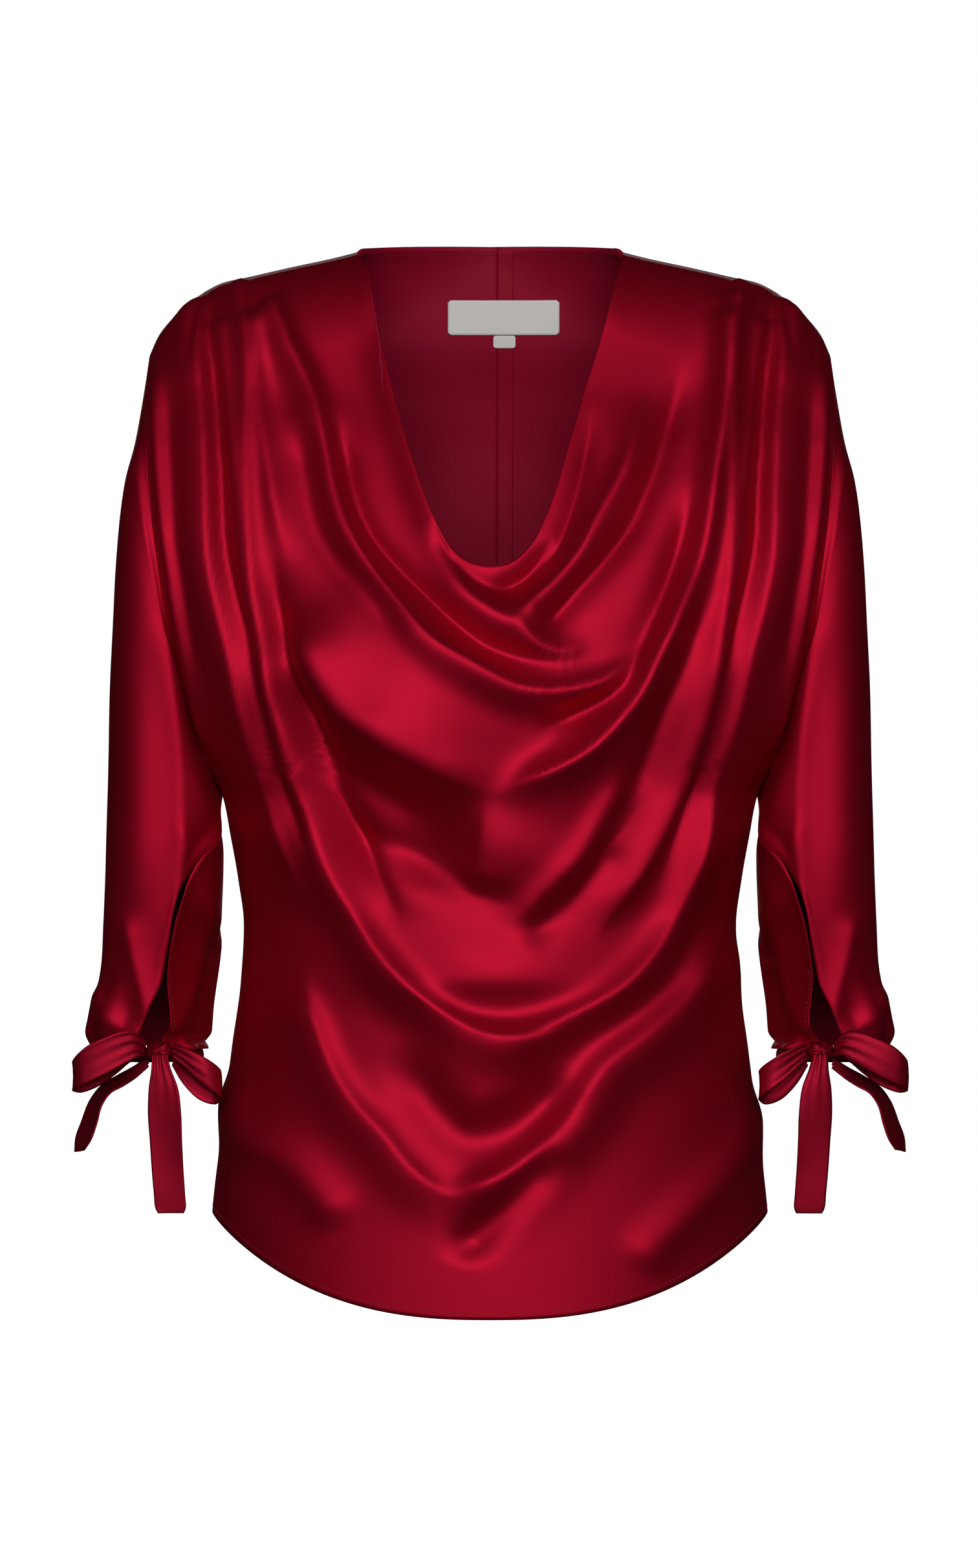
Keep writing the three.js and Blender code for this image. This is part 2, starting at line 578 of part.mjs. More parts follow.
// Indexed quads of a grid, wound so that its faces look outwards
function gridQuads(rows, flip) {
  const width = rows[0].length;
  const quads = [];
  for (let r = 0; r < rows.length - 1; r += 1) {
    for (let c = 0; c < width - 1; c += 1) {
      const quad = [r * width + c, (r + 1) * width + c, (r + 1) * width + c + 1, r * width + c + 1];
      quads.push(flip ? quad.reverse() : quad);
    }
  }
  return quads;
}

function pointNormals(points, quads) {
  const normals = points.map(() => new THREE.Vector3());
  for (const [a, b, c, d] of quads) {
    const face = points[c].clone().sub(points[a]).cross(points[d].clone().sub(points[b]));
    for (const i of [a, b, c, d]) normals[i].add(face);
  }
  return normals.map((n) => n.normalize());
}

const pieces = [];

function addPiece(name, rows, flip, seamTest, colours) {
  const points = rows.flat();
  const quads = gridQuads(rows, flip);
  pieces.push({ name, rows, points, quads, normals: pointNormals(points, quads), seamTest, colours });
}

function seamKey(point) {
  return [point.x, point.y, point.z].map((value) => Math.round(value * 20)).join(' ');
}

// Pieces that share a seam use the mean of their normals there, so that their edges lie side by side
function joinNormals() {
  const shared = new Map();
  for (const piece of pieces) {
    piece.points.forEach((point, i) => {
      if (!piece.seamTest(i)) return;
      const key = seamKey(point);
      const sum = shared.get(key) ?? { normal: new THREE.Vector3(), count: 0 };
      sum.normal.add(piece.normals[i]);
      sum.count += 1;
      shared.set(key, sum);
    });
  }
  for (const piece of pieces) {
    piece.points.forEach((point, i) => {
      if (!piece.seamTest(i)) return;
      const sum = shared.get(seamKey(point));
      if (sum.count > 1 && sum.normal.length() > 0.2) piece.normals[i] = sum.normal.clone().normalize();
      if (Math.abs(point.z - UNDERARM_Z) < 0.01 && Math.abs(point.y) < 1) piece.normals[i].set(0, 0, -1);
    });
  }
}

// Edge points between two seam points take the middle of their normals, as the neighbour's edge does
function evenNormals(piece, per) {
  const width = piece.rows[0].length;
  for (const col of [0, width - 1]) {
    for (let row = 1; row < piece.rows.length - 1; row += per) {
      const before = piece.normals[(row - 1) * width + col];
      const after = piece.normals[(row + 1) * width + col];
      piece.normals[row * width + col] = before.clone().add(after).multiplyScalar(0.5);
    }
  }
}

// Draws a piece's seam edges in by half the seam's gap, towards its own middle
function insetEdges(piece, onTop) {
  const width = piece.rows[0].length;
  const height = piece.rows.length;
  const moves = piece.points.map(() => new THREE.Vector3());
  const pull = (index, towards, before, after) => {
    const along = piece.points[after].clone().sub(piece.points[before]).normalize();
    const out = along.cross(piece.normals[index]).normalize();
    const way = piece.points[towards].clone().sub(piece.points[index]);
    moves[index].addScaledVector(out, Math.sign(way.dot(out)) * (SEAM_GAP / 2));
  };
  for (let row = 0; row < height; row += 1) {
    const before = Math.max(row - 1, 0) * width;
    const after = Math.min(row + 1, height - 1) * width;
    pull(row * width, row * width + 1, before, after);
    pull(row * width + width - 1, row * width + width - 2, before + width - 1, after + width - 1);
  }
  for (let col = 0; col < width; col += 1) {
    if (onTop(col)) pull(col, width + col, Math.max(col - 1, 0), Math.min(col + 1, width - 1));
  }
  piece.points.forEach((point, i) => point.add(moves[i]));
}

// A closed wall behind an outer face of quads, each split along its shorter diagonal
function wall(points, normals, quads, thickness) {
  const count = points.length;
  const inner = points.map((p, i) => p.clone().addScaledVector(normals[i], -thickness));
  const triangles = [];
  const edges = new Map();
  for (const quad of quads) {
    const turned = points[quad[0]].distanceTo(points[quad[2]]) > points[quad[1]].distanceTo(points[quad[3]]);
    const [a, b, c, d] = turned ? [...quad.slice(1), quad[0]] : quad;
    triangles.push([a, b, c], [a, c, d]);
    triangles.push([a + count, c + count, b + count], [a + count, d + count, c + count]);
    quad.forEach((from, i) => {
      const to = quad[(i + 1) % quad.length];
      const back = `${to} ${from}`;
      if (edges.has(back)) edges.delete(back);
      else edges.set(`${from} ${to}`, [from, to]);
    });
  }
  for (const [from, to] of edges.values()) {
    triangles.push([from, from + count, to + count], [from, to + count, to]);
  }
  const geometry = new THREE.BufferGeometry();
  const places = [...points, ...inner].flatMap((p) => p.toArray());
  geometry.setAttribute('position', new THREE.Float32BufferAttribute(places, 3));
  geometry.setIndex(triangles.flat());
  geometry.computeVertexNormals();
  return geometry;
}

const blouse = new THREE.Group();

function addMesh(name, geometry, colours) {
  const mesh = new THREE.Mesh(geometry, new THREE.MeshStandardMaterial(colours));
  mesh.name = name;
  blouse.add(mesh);
}

function buildCloth() {
  const front = frontRows();
  const frontWidth = front[0].length;
  const onSide = (width) => (i) => i % width === 0 || i % width === width - 1;
  const onShoulder = (i) => i <= SHOULDER_CELLS || (i < frontWidth && i >= frontWidth - 1 - SHOULDER_CELLS);
  addPiece('front', front, false, (i) => onSide(frontWidth)(i) || onShoulder(i), SATIN);
  for (const [side, name] of [[-1, 'right'], [1, 'left']]) {
    const back = backRows(side);
    const width = back[0].length;
    addPiece(`back_${name}`, back, side < 0, (i) => onSide(width)(i) || i <= SHOULDER_CELLS, SATIN);
    const rows = sleeveRows(side);
    addPiece(`sleeve_${name}`, rows, side < 0, (i) => i < rows[0].length || onSide(rows[0].length)(i), SATIN);
  }
  joinNormals();
  for (const piece of pieces) {
    const isFront = piece.name === 'front';
    const isSleeve = piece.name.startsWith('sleeve');
    if (isFront) evenNormals(piece, FRONT_ROWS_PER_CELL);
    insetEdges(piece, isFront ? onShoulder : (col) => isSleeve || col <= SHOULDER_CELLS);
    addMesh(piece.name, wall(piece.points, piece.normals, piece.quads, WALL), piece.colours);
  }
}

// A flat strip that lies on the inside of the back, made from the back's inner face moved in
function buildInside(name, spot, colours) {
  const backs = blouse.children.filter((mesh) => mesh.name.startsWith('back_'));
  const restingPoint = (row, col) => {
    const x = spot.x + spot.width * (col / spot.columns - 0.5);
    const z = spot.z + spot.height * (0.5 - row / spot.rows);
    const ray = new THREE.Raycaster(new THREE.Vector3(x, 0, z), new THREE.Vector3(0, 1, 0));
    return ray.intersectObjects(backs)[0].point.add(new THREE.Vector3(0, -REST_GAP - LABEL_WALL, 0));
  };
  const rows = Array.from({ length: spot.rows + 1 }, (_, row) => (
    Array.from({ length: spot.columns + 1 }, (__, col) => restingPoint(row, col))));
  const points = rows.flat();
  const quads = gridQuads(rows, false);
  addMesh(name, wall(points, pointNormals(points, quads), quads, LABEL_WALL), colours);
}

function buildRibbon(name, side, table) {
  const rows = table.map(([out, y, z, halfOut, halfY, halfZ]) => [-1, 0, 1].map((across) => new THREE.Vector3(
    side * (out + across * halfOut),
    y + across * halfY,
    z + across * halfZ,
  )));
  const points = rows.flat();
  const quads = gridQuads(rows, side > 0);
  const normals = pointNormals(points, quads);
  const outer = points.map((p, i) => p.clone().addScaledVector(normals[i], RIBBON_WALL / 2));
  addMesh(name, wall(outer, normals, quads, RIBBON_WALL), RIBBON);
}

function buildKnot(name, side) {
  const geometry = new THREE.SphereGeometry(1, KNOT.around, KNOT.up);
  geometry.scale(KNOT.halfOut, KNOT.halfHeight, KNOT.halfDepth);
  geometry.rotateX(Math.PI / 2);
  geometry.translate(side * KNOT.out, KNOT.y, KNOT.z);
  addMesh(name, geometry, RIBBON);
}

// The band round the wrist, a ring of four corners at each step
function buildBand(name, side) {
  const ring = (drop, inset) => Array.from({ length: BAND.cells }, (_, i) => {
    const angle = (2 * Math.PI * i) / BAND.cells;
    return new THREE.Vector3(
      side * (BAND.out + (BAND.halfOut - inset) * Math.cos(angle)),
      BAND.y - (BAND.halfDepth - inset) * Math.sin(angle),
      BAND.z - drop,
    );
  });
  const corners = [ring(0, 0), ring(BAND.height, 0), ring(BAND.height, WALL), ring(0, WALL)];
  const triangles = [];
  for (let k = 0; k < 4; k += 1) {
    const next = (k + 1) % 4;
    for (let i = 0; i < BAND.cells; i += 1) {
      const j = (i + 1) % BAND.cells;
      const quad = [k * BAND.cells + i, next * BAND.cells + i, next * BAND.cells + j, k * BAND.cells + j];
      if (side > 0) quad.reverse();
      triangles.push(quad[0], quad[1], quad[2], quad[0], quad[2], quad[3]);
    }
  }
  const geometry = new THREE.BufferGeometry();
  const values = corners.flat().flatMap((p) => p.toArray());
  geometry.setAttribute('position', new THREE.Float32BufferAttribute(values, 3));
  geometry.setIndex(triangles);
  addMesh(name, geometry, RIBBON);
}

buildCloth();
buildInside('label', LABEL_PLACE, LABEL);
buildInside('size_tab', TAB_PLACE, LABEL);
for (const [side, name] of [[-1, 'right'], [1, 'left']]) {
  buildBand(`cuff_band_${name}`, side);
  buildKnot(`bow_knot_${name}`, side);
  for (const [ribbon, table] of Object.entries(BOW)) buildRibbon(`${ribbon}_${name}`, side, table);
}

export default blouse;
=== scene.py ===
# A cowl-neck satin blouse with tied cuffs, filled out as it is worn, in metres with +Z up.
# The wearer faces -Y. Tables are in millimetres, as a pattern cutter writes them.
import math

import bmesh
import bpy
import numpy as np
from bpy.props import FloatProperty, FloatVectorProperty, PointerProperty
from mathutils import Matrix, Vector


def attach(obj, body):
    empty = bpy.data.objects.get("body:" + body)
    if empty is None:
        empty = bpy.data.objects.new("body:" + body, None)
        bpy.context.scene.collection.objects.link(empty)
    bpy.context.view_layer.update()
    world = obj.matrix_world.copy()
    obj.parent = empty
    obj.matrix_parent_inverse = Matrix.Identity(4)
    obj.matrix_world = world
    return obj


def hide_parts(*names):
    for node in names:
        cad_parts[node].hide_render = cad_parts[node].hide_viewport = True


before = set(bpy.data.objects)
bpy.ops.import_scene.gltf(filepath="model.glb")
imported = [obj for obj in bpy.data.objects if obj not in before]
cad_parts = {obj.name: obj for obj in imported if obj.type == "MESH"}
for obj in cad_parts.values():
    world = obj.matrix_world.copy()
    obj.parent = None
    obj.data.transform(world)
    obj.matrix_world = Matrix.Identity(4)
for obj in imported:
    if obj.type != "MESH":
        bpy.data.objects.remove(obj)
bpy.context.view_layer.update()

bl_info = {
    "name": "Satin Blouse",
    "version": (1, 0, 0),
    "blender": (4, 5, 0),
    "location": "3D View > Sidebar > Blouse",
    "description": "Cuts, drapes and sews a cowl-neck satin blouse with tied cuffs",
    "category": "Add Mesh",
}

MM = 0.001
BODY = "root"
SIDES = ((-1, "right"), (1, "left"))

# Main sizes of the body, as the pattern has them
NECK_HALF = 86
NECK_BACK_RISE = 9
NECK_SLOPE = 0.63
SHOULDER_ROUND = 60
SLEEVE_HEAD_Z = -66
UNDERARM_Z = -350
HEM_CORNER_Z = -617
HEM_FRONT_Z = -676
HEM_POWER = 2.6
BACK_SEAM_X = 5

# Cells of the cloth meshes along each stretch
SHOULDER_CELLS = 60
NECK_FRONT_CELLS = 120
NECK_BACK_CELLS = 34
ARMHOLE_CELLS = 104
SIDE_CELLS = 96
SLEEVE_ROWS = 170
SLEEVE_LINE_STEPS = 600
MEAN_HALF_WIDTH = 200

# Half widths and depths of the smooth body by height
BODY_TABLE = {
    "z": [-690, -620, -560, -510, -470, -433, -404, -375, -350, -325, -304, -278, -245, -207,
          -170, -130, -90, -50, 0, 40],
    "front_width": [182, 179, 172, 166, 160.5, 158.5, 162, 167, 172, 189, 203, 218, 236, 253,
                    264, 262, 250, 240, 240, 240],
    "front_depth": [122, 120, 117, 114, 112, 112, 116, 121, 124, 126, 128, 129, 126, 118,
                    106, 90, 70, 56, 45, 40],
    "back_width": [182, 179, 172, 166, 160.5, 158.5, 162, 167, 172, 187, 199, 213, 230, 246,
                   258, 258, 250, 240, 240, 240],
    "back_depth": [120, 116, 110, 102, 96, 92, 92, 94, 96, 98, 100, 102, 104, 104,
                   100, 94, 82, 66, 60, 58],
}
SHOULDER = [(86, 0), (102, -4), (130, -10), (156, -16), (172, -19.5), (183, -25), (194, -33),
            (204, -42), (213, -53), (219, -66)]
ARMHOLE = {
    "z": [-350, -341, -325, -304, -279, -246, -209, -172, -132, -92, -66],
    "front": [172, 176, 182, 190, 196, 204, 209.5, 214.5, 218, 219.5, 219],
    "back": [172, 175, 180, 186, 191, 197, 202, 207, 213, 218, 219],
}
NECKLINE = [
    (-86, 0), (-78, -15), (-74, -43), (-67, -70), (-59, -106), (-47, -146), (-34, -180), (-25, -195),
    (-12, -204), (2, -206), (15, -203), (27, -191), (34, -177), (42, -156), (59, -96), (72, -54), (86, 0),
]

# Folds: name, rise, width to the left of the way it runs, width to the right, the lengths over
# which it fades in and out, and its line across the cloth as x and z
PAIRED_FOLDS = [
    ("armhole ridge", 6, 9, 11, 25, 30,
     [(-213, -68), (-215, -91), (-213, -121), (-210, -156), (-205, -199), (-202, -217), (-195, -247),
      (-188, -276), (-180, -305), (-173, -332)]),
    ("armhole trough", -4, 7, 9, 40, 40,
     [(-206, -80), (-203, -130), (-200, -165), (-198, -189), (-193, -217), (-188, -248), (-181, -283)]),
    ("top pleat", 8, 5, 20, 3, 70,
     [(-184, -27), (-184, -45), (-182, -86), (-179, -122), (-177, -157), (-175, -200), (-169, -230),
      (-161, -260), (-155, -287), (-147, -315), (-138, -338), (-130, -370), (-121, -398), (-110, -430)]),
    ("under the top pleat", -5, 4, 4, 3, 60,
     [(-181, -27), (-180, -57), (-175, -87), (-172, -116), (-169, -150), (-167, -190), (-161, -218),
      (-152, -250), (-145, -276), (-138, -304), (-130, -330), (-122, -356), (-113, -382), (-104, -406)]),
    ("notch", -5, 2.6, 3.2, 2, 46, [(-183.5, -24), (-186, -34), (-188, -50), (-190, -84)]),
    ("small pleat", 3.5, 5, 9, 5, 60,
     [(-172, -45), (-168, -80), (-165, -110), (-160, -150), (-155, -190)]),
    ("second pleat", 6, 5, 12, 3, 90,
     [(-158.5, -19), (-156.5, -46), (-153.5, -75), (-153, -111), (-152, -146), (-151, -180),
      (-149, -205), (-146, -228), (-141, -252), (-135, -280), (-128, -304)]),
    ("third pleat", 6, 7, 9, 12, 60,
     [(-148, -40), (-147, -75), (-145, -105), (-140, -135), (-135, -165), (-130, -190), (-126, -215)]),
]
FRONT_FOLDS = [
    ("right pleat to low cowl", 11, 7, 18, 60, 60,
     [(-144, -235), (-139, -260), (-134, -284), (-127, -306), (-121, -332), (-112, -358), (-104, -380),
      (-94, -402), (-82, -422), (-71, -441), (-56, -460), (-34, -481), (-12, -494), (6, -499), (30, -500),
      (54, -494)]),
    ("inside the low cowl", -12, 9, 9, 60, 60,
     [(-137, -190), (-134, -230), (-127, -262), (-121, -285), (-112, -308), (-104, -332), (-96, -358),
      (-84, -384), (-66, -412), (-52, -434)]),
    ("left pleat to low cowl", 11, 16, 8, 70, 60,
     [(142, -330), (138, -342), (130, -370), (122, -398), (112, -424), (100, -446),
      (80, -468), (50, -486), (14, -498), (-16, -496)]),
    ("left inner pleat", 8, 6, 11, 60, 60,
     [(152, -225), (150, -245), (145, -270), (139, -298), (131, -322), (119, -348), (104, -377), (90, -402),
      (76, -422), (60, -444)]),
    ("inside the left pleat", -7, 9, 9, 40, 60,
     [(136, -215), (131, -240), (122, -268), (112, -290), (104, -312), (94, -340), (84, -360), (72, -382),
      (60, -402), (46, -424)]),
    ("second cowl", 11, 6, 14, 10, 45,
     [(-142, -31), (-133, -46), (-126, -64), (-117, -82), (-110, -99), (-105, -118), (-100, -138),
      (-95, -160), (-88, -180), (-78, -200), (-64, -220), (-47, -240), (-33, -254), (-16, -264),
      (1, -273), (16, -280), (35, -283), (52, -282), (70, -277), (86, -266), (97, -252)]),
    ("inside the second cowl", -8, 7, 7, 40, 40,
     [(-100, -105), (-92, -135), (-87, -160), (-78, -182), (-62, -203), (-42, -223), (-24, -240),
      (-4, -256), (12, -262), (50, -266), (68, -260)]),
    ("beside the second cowl", -5, 10, 10, 30, 30,
     [(-118, -110), (-114, -150), (-106, -185), (-92, -206), (-76, -222), (-60, -242), (-46, -254)]),
    ("neck roll", 9, 8, 13, 60, 30,
     [(-74, -40), (-66, -75), (-56, -108), (-46, -141), (-38, -166), (-30, -187), (-24, -202), (-15, -222),
      (-2, -233), (8, -239), (16, -243), (24, -251), (34, -259), (44, -262), (56, -258), (64, -254)]),
    ("under the neck roll", -6, 6, 7, 20, 20,
     [(-36, -178), (-24, -203), (-8, -216), (6, -220), (18, -215), (30, -203), (40, -186)]),
    ("left neck ridge", 8, 12, 8, 60, 20,
     [(96, -90), (86, -140), (66, -178), (56, -198), (42, -215), (32, -224), (20, -234), (8, -238)]),
    ("left neck trough", -5, 7, 7, 40, 20,
     [(66, -100), (58, -145), (49, -178), (40, -198), (26, -212), (10, -219), (-4, -218)]),
    ("left cowl trough", -8, 9, 8, 50, 20,
     [(124, -70), (117, -100), (105, -140), (97, -160), (88, -180), (73, -200), (54, -221), (38, -240),
      (28, -250)]),
    ("pouch", 8, 18, 9, 40, 50,
     [(-121, -225), (-117, -248), (-109, -270), (-97, -288), (-84, -300), (-69, -310), (-55, -321),
      (-42, -329), (-27, -337), (-8, -344), (14, -350)]),
    ("under the pouch", -9, 12, 14, 40, 50,
     [(-126, -262), (-116, -296), (-104, -318), (-86, -335), (-64, -350), (-40, -362), (-20, -374)]),
    ("third cowl", 9, 10, 8, 8, 60,
     [(156, -28), (150, -50), (148, -75), (146, -100), (144, -122), (140, -146), (136, -175), (130, -200),
      (121, -221), (111, -241), (100, -262), (91, -281), (78, -299), (59, -318), (40, -330), (20, -340),
      (0, -352)]),
    ("third cowl's drop", 9, 26, 8, 60, 40,
     [(130, -200), (121, -221), (111, -241), (100, -262), (91, -281), (78, -299), (59, -318), (40, -330),
      (20, -340), (0, -352)]),
    ("inside the third cowl", -9, 7, 8, 50, 30,
     [(128, -150), (122, -185), (114, -212), (104, -238), (93, -262), (84, -280), (66, -293), (44, -303),
      (26, -307)]),
    ("hollow's edge", 8, 24, 9, 50, 20,
     [(-2, -338), (-3, -356), (-5, -375), (-8, -394), (-12, -414)]),
    ("centre ridge", 6, 16, 10, 30, 30,
     [(92, -330), (74, -358), (58, -385), (42, -402), (24, -420), (6, -438)]),
    ("beside the centre ridge", -5, 10, 10, 20, 20,
     [(84, -378), (66, -398), (50, -413), (34, -428), (20, -444)]),
    ("low hollow", -8, 16, 16, 40, 30,
     [(-62, -502), (-50, -524), (-34, -546), (-14, -562), (14, -556), (40, -538), (56, -524)]),
    ("fifth cowl, right", 7, 6, 20, 40, 40,
     [(-118, -455), (-112, -480), (-105, -500), (-97, -520), (-84, -541), (-66, -560), (-50, -580),
      (-30, -596), (-10, -602)]),
    ("fifth cowl, left", 11, 22, 10, 40, 40,
     [(148, -430), (122, -476), (96, -500), (71, -519), (56, -541), (41, -560), (18, -582), (-12, -596),
      (-34, -602)]),
    ("bottom hollow", -8, 12, 12, 30, 20,
     [(46, -566), (32, -582), (16, -598), (0, -614), (-12, -628), (-16, -644)]),
    ("right side drag", 5, 14, 14, 30, 20,
     [(-172, -520), (-160, -562), (-126, -580), (-106, -600), (-90, -622)]),
    ("left side drag", 5, 14, 14, 30, 20,
     [(172, -530), (160, -573), (124, -611), (104, -630), (88, -649)]),
]
# Swells: name, rise, x and z of the middle, half size along, above and below the line that it
# leans on, and its lean in degrees
FRONT_SWELLS = [
    ("pouch", 18, -60, -304, 60, 64, 40, -30),
    ("pouch's shoulder", 9, -106, -264, 26, 38, 24, -50),
    ("hollow under the pouch", -18, -52, -386, 46, 38, 16, -24),
    ("plateau", 6, 34, -388, 40, 34, 24, 0),
    ("lap of the low cowl", 9, 4, -462, 66, 30, 18, 0),
    ("lap of the fifth cowl", 6, 0, -520, 30, 20, 34, 0),
]
BACK_FOLDS = [
    ("blade fold", 5, 20, 16, 20, 60, [(152, -50), (146, -160), (130, -260), (104, -360)]),
    ("inner fold", 4, 24, 18, 60, 60, [(58, -90), (52, -220), (64, -340), (82, -420)]),
    ("armhole drag", 4, 10, 12, 20, 50, [(196, -250), (170, -300), (140, -340), (100, -366)]),
    ("waist drag", 5, 12, 16, 30, 50, [(160, -385), (122, -420), (70, -436), (30, -430)]),
    ("lower drag", -4, 10, 12, 30, 50, [(158, -410), (126, -446), (84, -462), (44, -456)]),
    ("outer flute", 6, 20, 22, 60, 10, [(118, -450), (124, -560), (128, -650)]),
    ("inner flute", 5, 20, 24, 60, 10, [(52, -460), (50, -570), (48, -676)]),
    ("between the flutes", -4, 14, 14, 60, 10, [(86, -470), (88, -570), (90, -660)]),
]

# The sleeve's outer and inner lines, and its sections down its length
SLEEVE_OUTER = [
    (219, -66), (225, -98), (230.6, -129), (235.6, -179), (238.5, -229), (241.5, -279), (243.5, -329),
    (246, -379), (248, -429), (249.8, -458), (253.5, -479), (257, -492), (259, -502), (255, -511),
]
SLEEVE_INNER = [
    (172, -350), (172, -361), (169.8, -374), (167.4, -386), (165.8, -397), (166.6, -408), (169.8, -429),
    (173, -454), (177, -479), (180, -500), (182, -512),
]
SLEEVE_TABLE = {
    "along": [0, 0.25, 0.5, 0.7, 0.82, 0.93, 1],
    "front": [62, 58, 53, 46, 40, 35, 29],
    "back": [66, 62, 56, 48, 42, 36, 30],
    "middle": [0, -2, -4, -8, -10, -11, -11],
    "seam_angle": [180, 150, 120, 103, 101, 107, 106],
    "slit_angle": [0, 0, 0, 0, 2, 19, 22],
}
# Share of the length over which a sleeve takes up the armhole's shape
ARMHOLE_BLEND = 0.75
ARMHOLE_BLEND_POWER = 1.4
# Where a sleeve's inner side lies flat, as shares of the length, and the angle at which it turns back
FLAT_FROM = 0.5
FLAT_FADE = 0.14
FLAT_END = 0.06
FLAT_TURN = math.radians(150)
# How square the section's front is, from 1 for an oval down, by the share of the length
FRONT_FLATNESS = ((0, 0.3, 0.8, 1), (0.55, 0.65, 0.75, 1))
CUFF_GATHERS = 9
CUFF_GATHER_DEPTH = 1.5
CUFF_GATHER_FROM = 0.82
CUFF_GATHER_SWAY = 0.8
CUFF_GATHER_DRIFT = 7
# Folds show on the side that they face, and die out over a few rows at each end
FOLD_FACING = 0.5
HEAD_FADE_ROWS = 8
CUFF_FADE_ROWS = 3
# Folds of a sleeve's front and of its back, on the wearer's left, as x and z
SLEEVE_FRONT_FOLDS = [
    ("long ridge", 4, 14, 16, 40, 80,
     [(226, -110), (226, -180), (225, -250), (224, -320), (224, -390), (226, -450)]),
    ("inner ridge", 3, 7, 8, 30, 60, [(208, -230), (200, -290), (196, -340), (198, -400), (204, -450)]),
    ("slit edge", 2.5, 5, 4, 20, 4, [(192, -360), (196, -400), (203, -435), (209, -465), (211, -503)]),
    ("cuff drag", 4, 8, 8, 20, 10, [(232, -420), (226, -452), (219, -482), (214, -505)]),
    ("cuff pouch", 5, 12, 8, 12, 12, [(250, -468), (243, -490), (228, -500), (214, -508)]),
    ("inner cuff drag", 4, 8, 8, 20, 10, [(182, -430), (188, -462), (197, -488), (207, -506)]),
]
SLEEVE_BACK_FOLDS = [
    ("back ridge", 4, 14, 14, 40, 80, [(226, -110), (222, -200), (216, -290), (214, -380), (218, -450)]),
    ("elbow fold", 4, 9, 12, 30, 30, [(180, -372), (200, -392), (222, -404), (240, -402)]),
    ("elbow crease", -3, 7, 8, 30, 30, [(182, -392), (204, -412), (228, -420)]),
    ("back cuff drag", 4, 9, 9, 20, 10, [(236, -430), (226, -470), (218, -506)]),
    ("back cuff pouch", 4, 12, 8, 12, 12, [(250, -472), (240, -490), (220, -500), (196, -500)]),
]

# The band round the wrist and the bow on it
BAND = {"out": 218.5, "y": -11, "z": -512.6, "half_out": 35, "half_depth": 28.5, "height": 7}
KNOT = {"out": 210, "y": -48.2, "z": -512, "half_out": 8.5, "half_depth": 8, "half_height": 7.5}
# Rows down each ribbon: the middle as out, y and z, and half its width as out, y and z
BOW = {
    "bow_loop_outer": [
        (218.7, -50, -510.5, 0, 0, 5), (225, -54, -507.5, 1, 0, 8), (233, -56.5, -509.5, 1.5, 0, 10),
        (243, -58, -514, 2, 0, 10.8), (253, -58, -519, 2, 0, 11), (261, -56, -524, 1, 0, 10),
        (265, -51.5, -528, 0, 0, 9), (261, -46.5, -529.5, 1, 0, 9), (250, -44.5, -525, 2, 0, 9),
        (238, -44.5, -518.5, 1, 0, 7.5), (228, -45.2, -513, 0, 0, 5.5), (218.7, -47, -511.5, 0, 0, 4),
    ],
    "bow_loop_inner": [
        (201.2, -51, -512, 0, 0, 4.5), (195, -54, -515.5, 1, 0, 7), (187, -56.5, -521, 1.5, 0, 9.5),
        (179, -57, -526, 2, 0, 10.5), (172.5, -54, -531, 1, 0, 10), (171, -50, -534, 0, 0, 9),
        (175, -46.5, -537, 0, 0, 9), (184, -45, -534.5, -1, 0, 8.5), (193, -45, -526, -2, 0, 7),
        (201, -46.5, -517, -1, 0, 4),
    ],
    "bow_tail_front": [
        (209.5, -56.6, -513.5, 4.5, 0, 0), (208.5, -58, -523, 6, 0, -0.5), (207, -58.5, -535, 9.3, 1, 0),
        (206.3, -58, -551, 10.6, 1.5, 0), (205.5, -57, -568, 10.3, 1, 0), (204.5, -56, -586, 10.1, 0, 0),
        (203.3, -55.5, -602, 9.9, -0.5, 0), (202.6, -55.2, -611, 9.7, -0.5, 0),
        (202.4, -55, -614.5, 8.2, -0.5, 0),
    ],
    "bow_tail_outer": [
        (217.5, -46, -519, 0, 1, 3.5), (226, -43, -525.5, 1, 3, 3.5), (236, -38.5, -531.5, 2.5, 5.5, 3),
        (245, -37, -537, 3.5, 7.5, 2), (251.5, -37, -546, 4.5, 8, 1), (255.5, -38, -558, 5.5, 7.5, 0),
        (259, -38.5, -568, 5.5, 7, 0), (261.5, -39, -576, 3.5, 5, -1),
    ],
}
LABEL_CORNER = 1.6
LABEL_PLACE = {"x": 9, "z": -37, "width": 73, "height": 22.5}
TAB_PLACE = {"x": 9.5, "z": -52.6, "width": 14.5, "height": 8}


class ClothSizes(bpy.types.PropertyGroup):
    """Sizes of the cloth and its sewing"""

    shell: FloatProperty(
        name="Cloth thickness", description="Thickness of the satin", default=0.0006, unit="LENGTH")
    ribbon: FloatProperty(
        name="Ribbon thickness", description="Thickness of the doubled ties", default=0.0009, unit="LENGTH")
    stitch: FloatProperty(
        name="Stitch length", description="Length of one stitch", default=0.0021, unit="LENGTH")
    pitch: FloatProperty(
        name="Stitch pitch", description="Distance from stitch to stitch", default=0.0029, unit="LENGTH")
    thread: FloatProperty(
        name="Thread radius", description="Radius of the sewing thread", default=0.00022, unit="LENGTH")
    weave: FloatProperty(
        name="Weave", description="Distance between the warp threads", default=0.00045, unit="LENGTH")


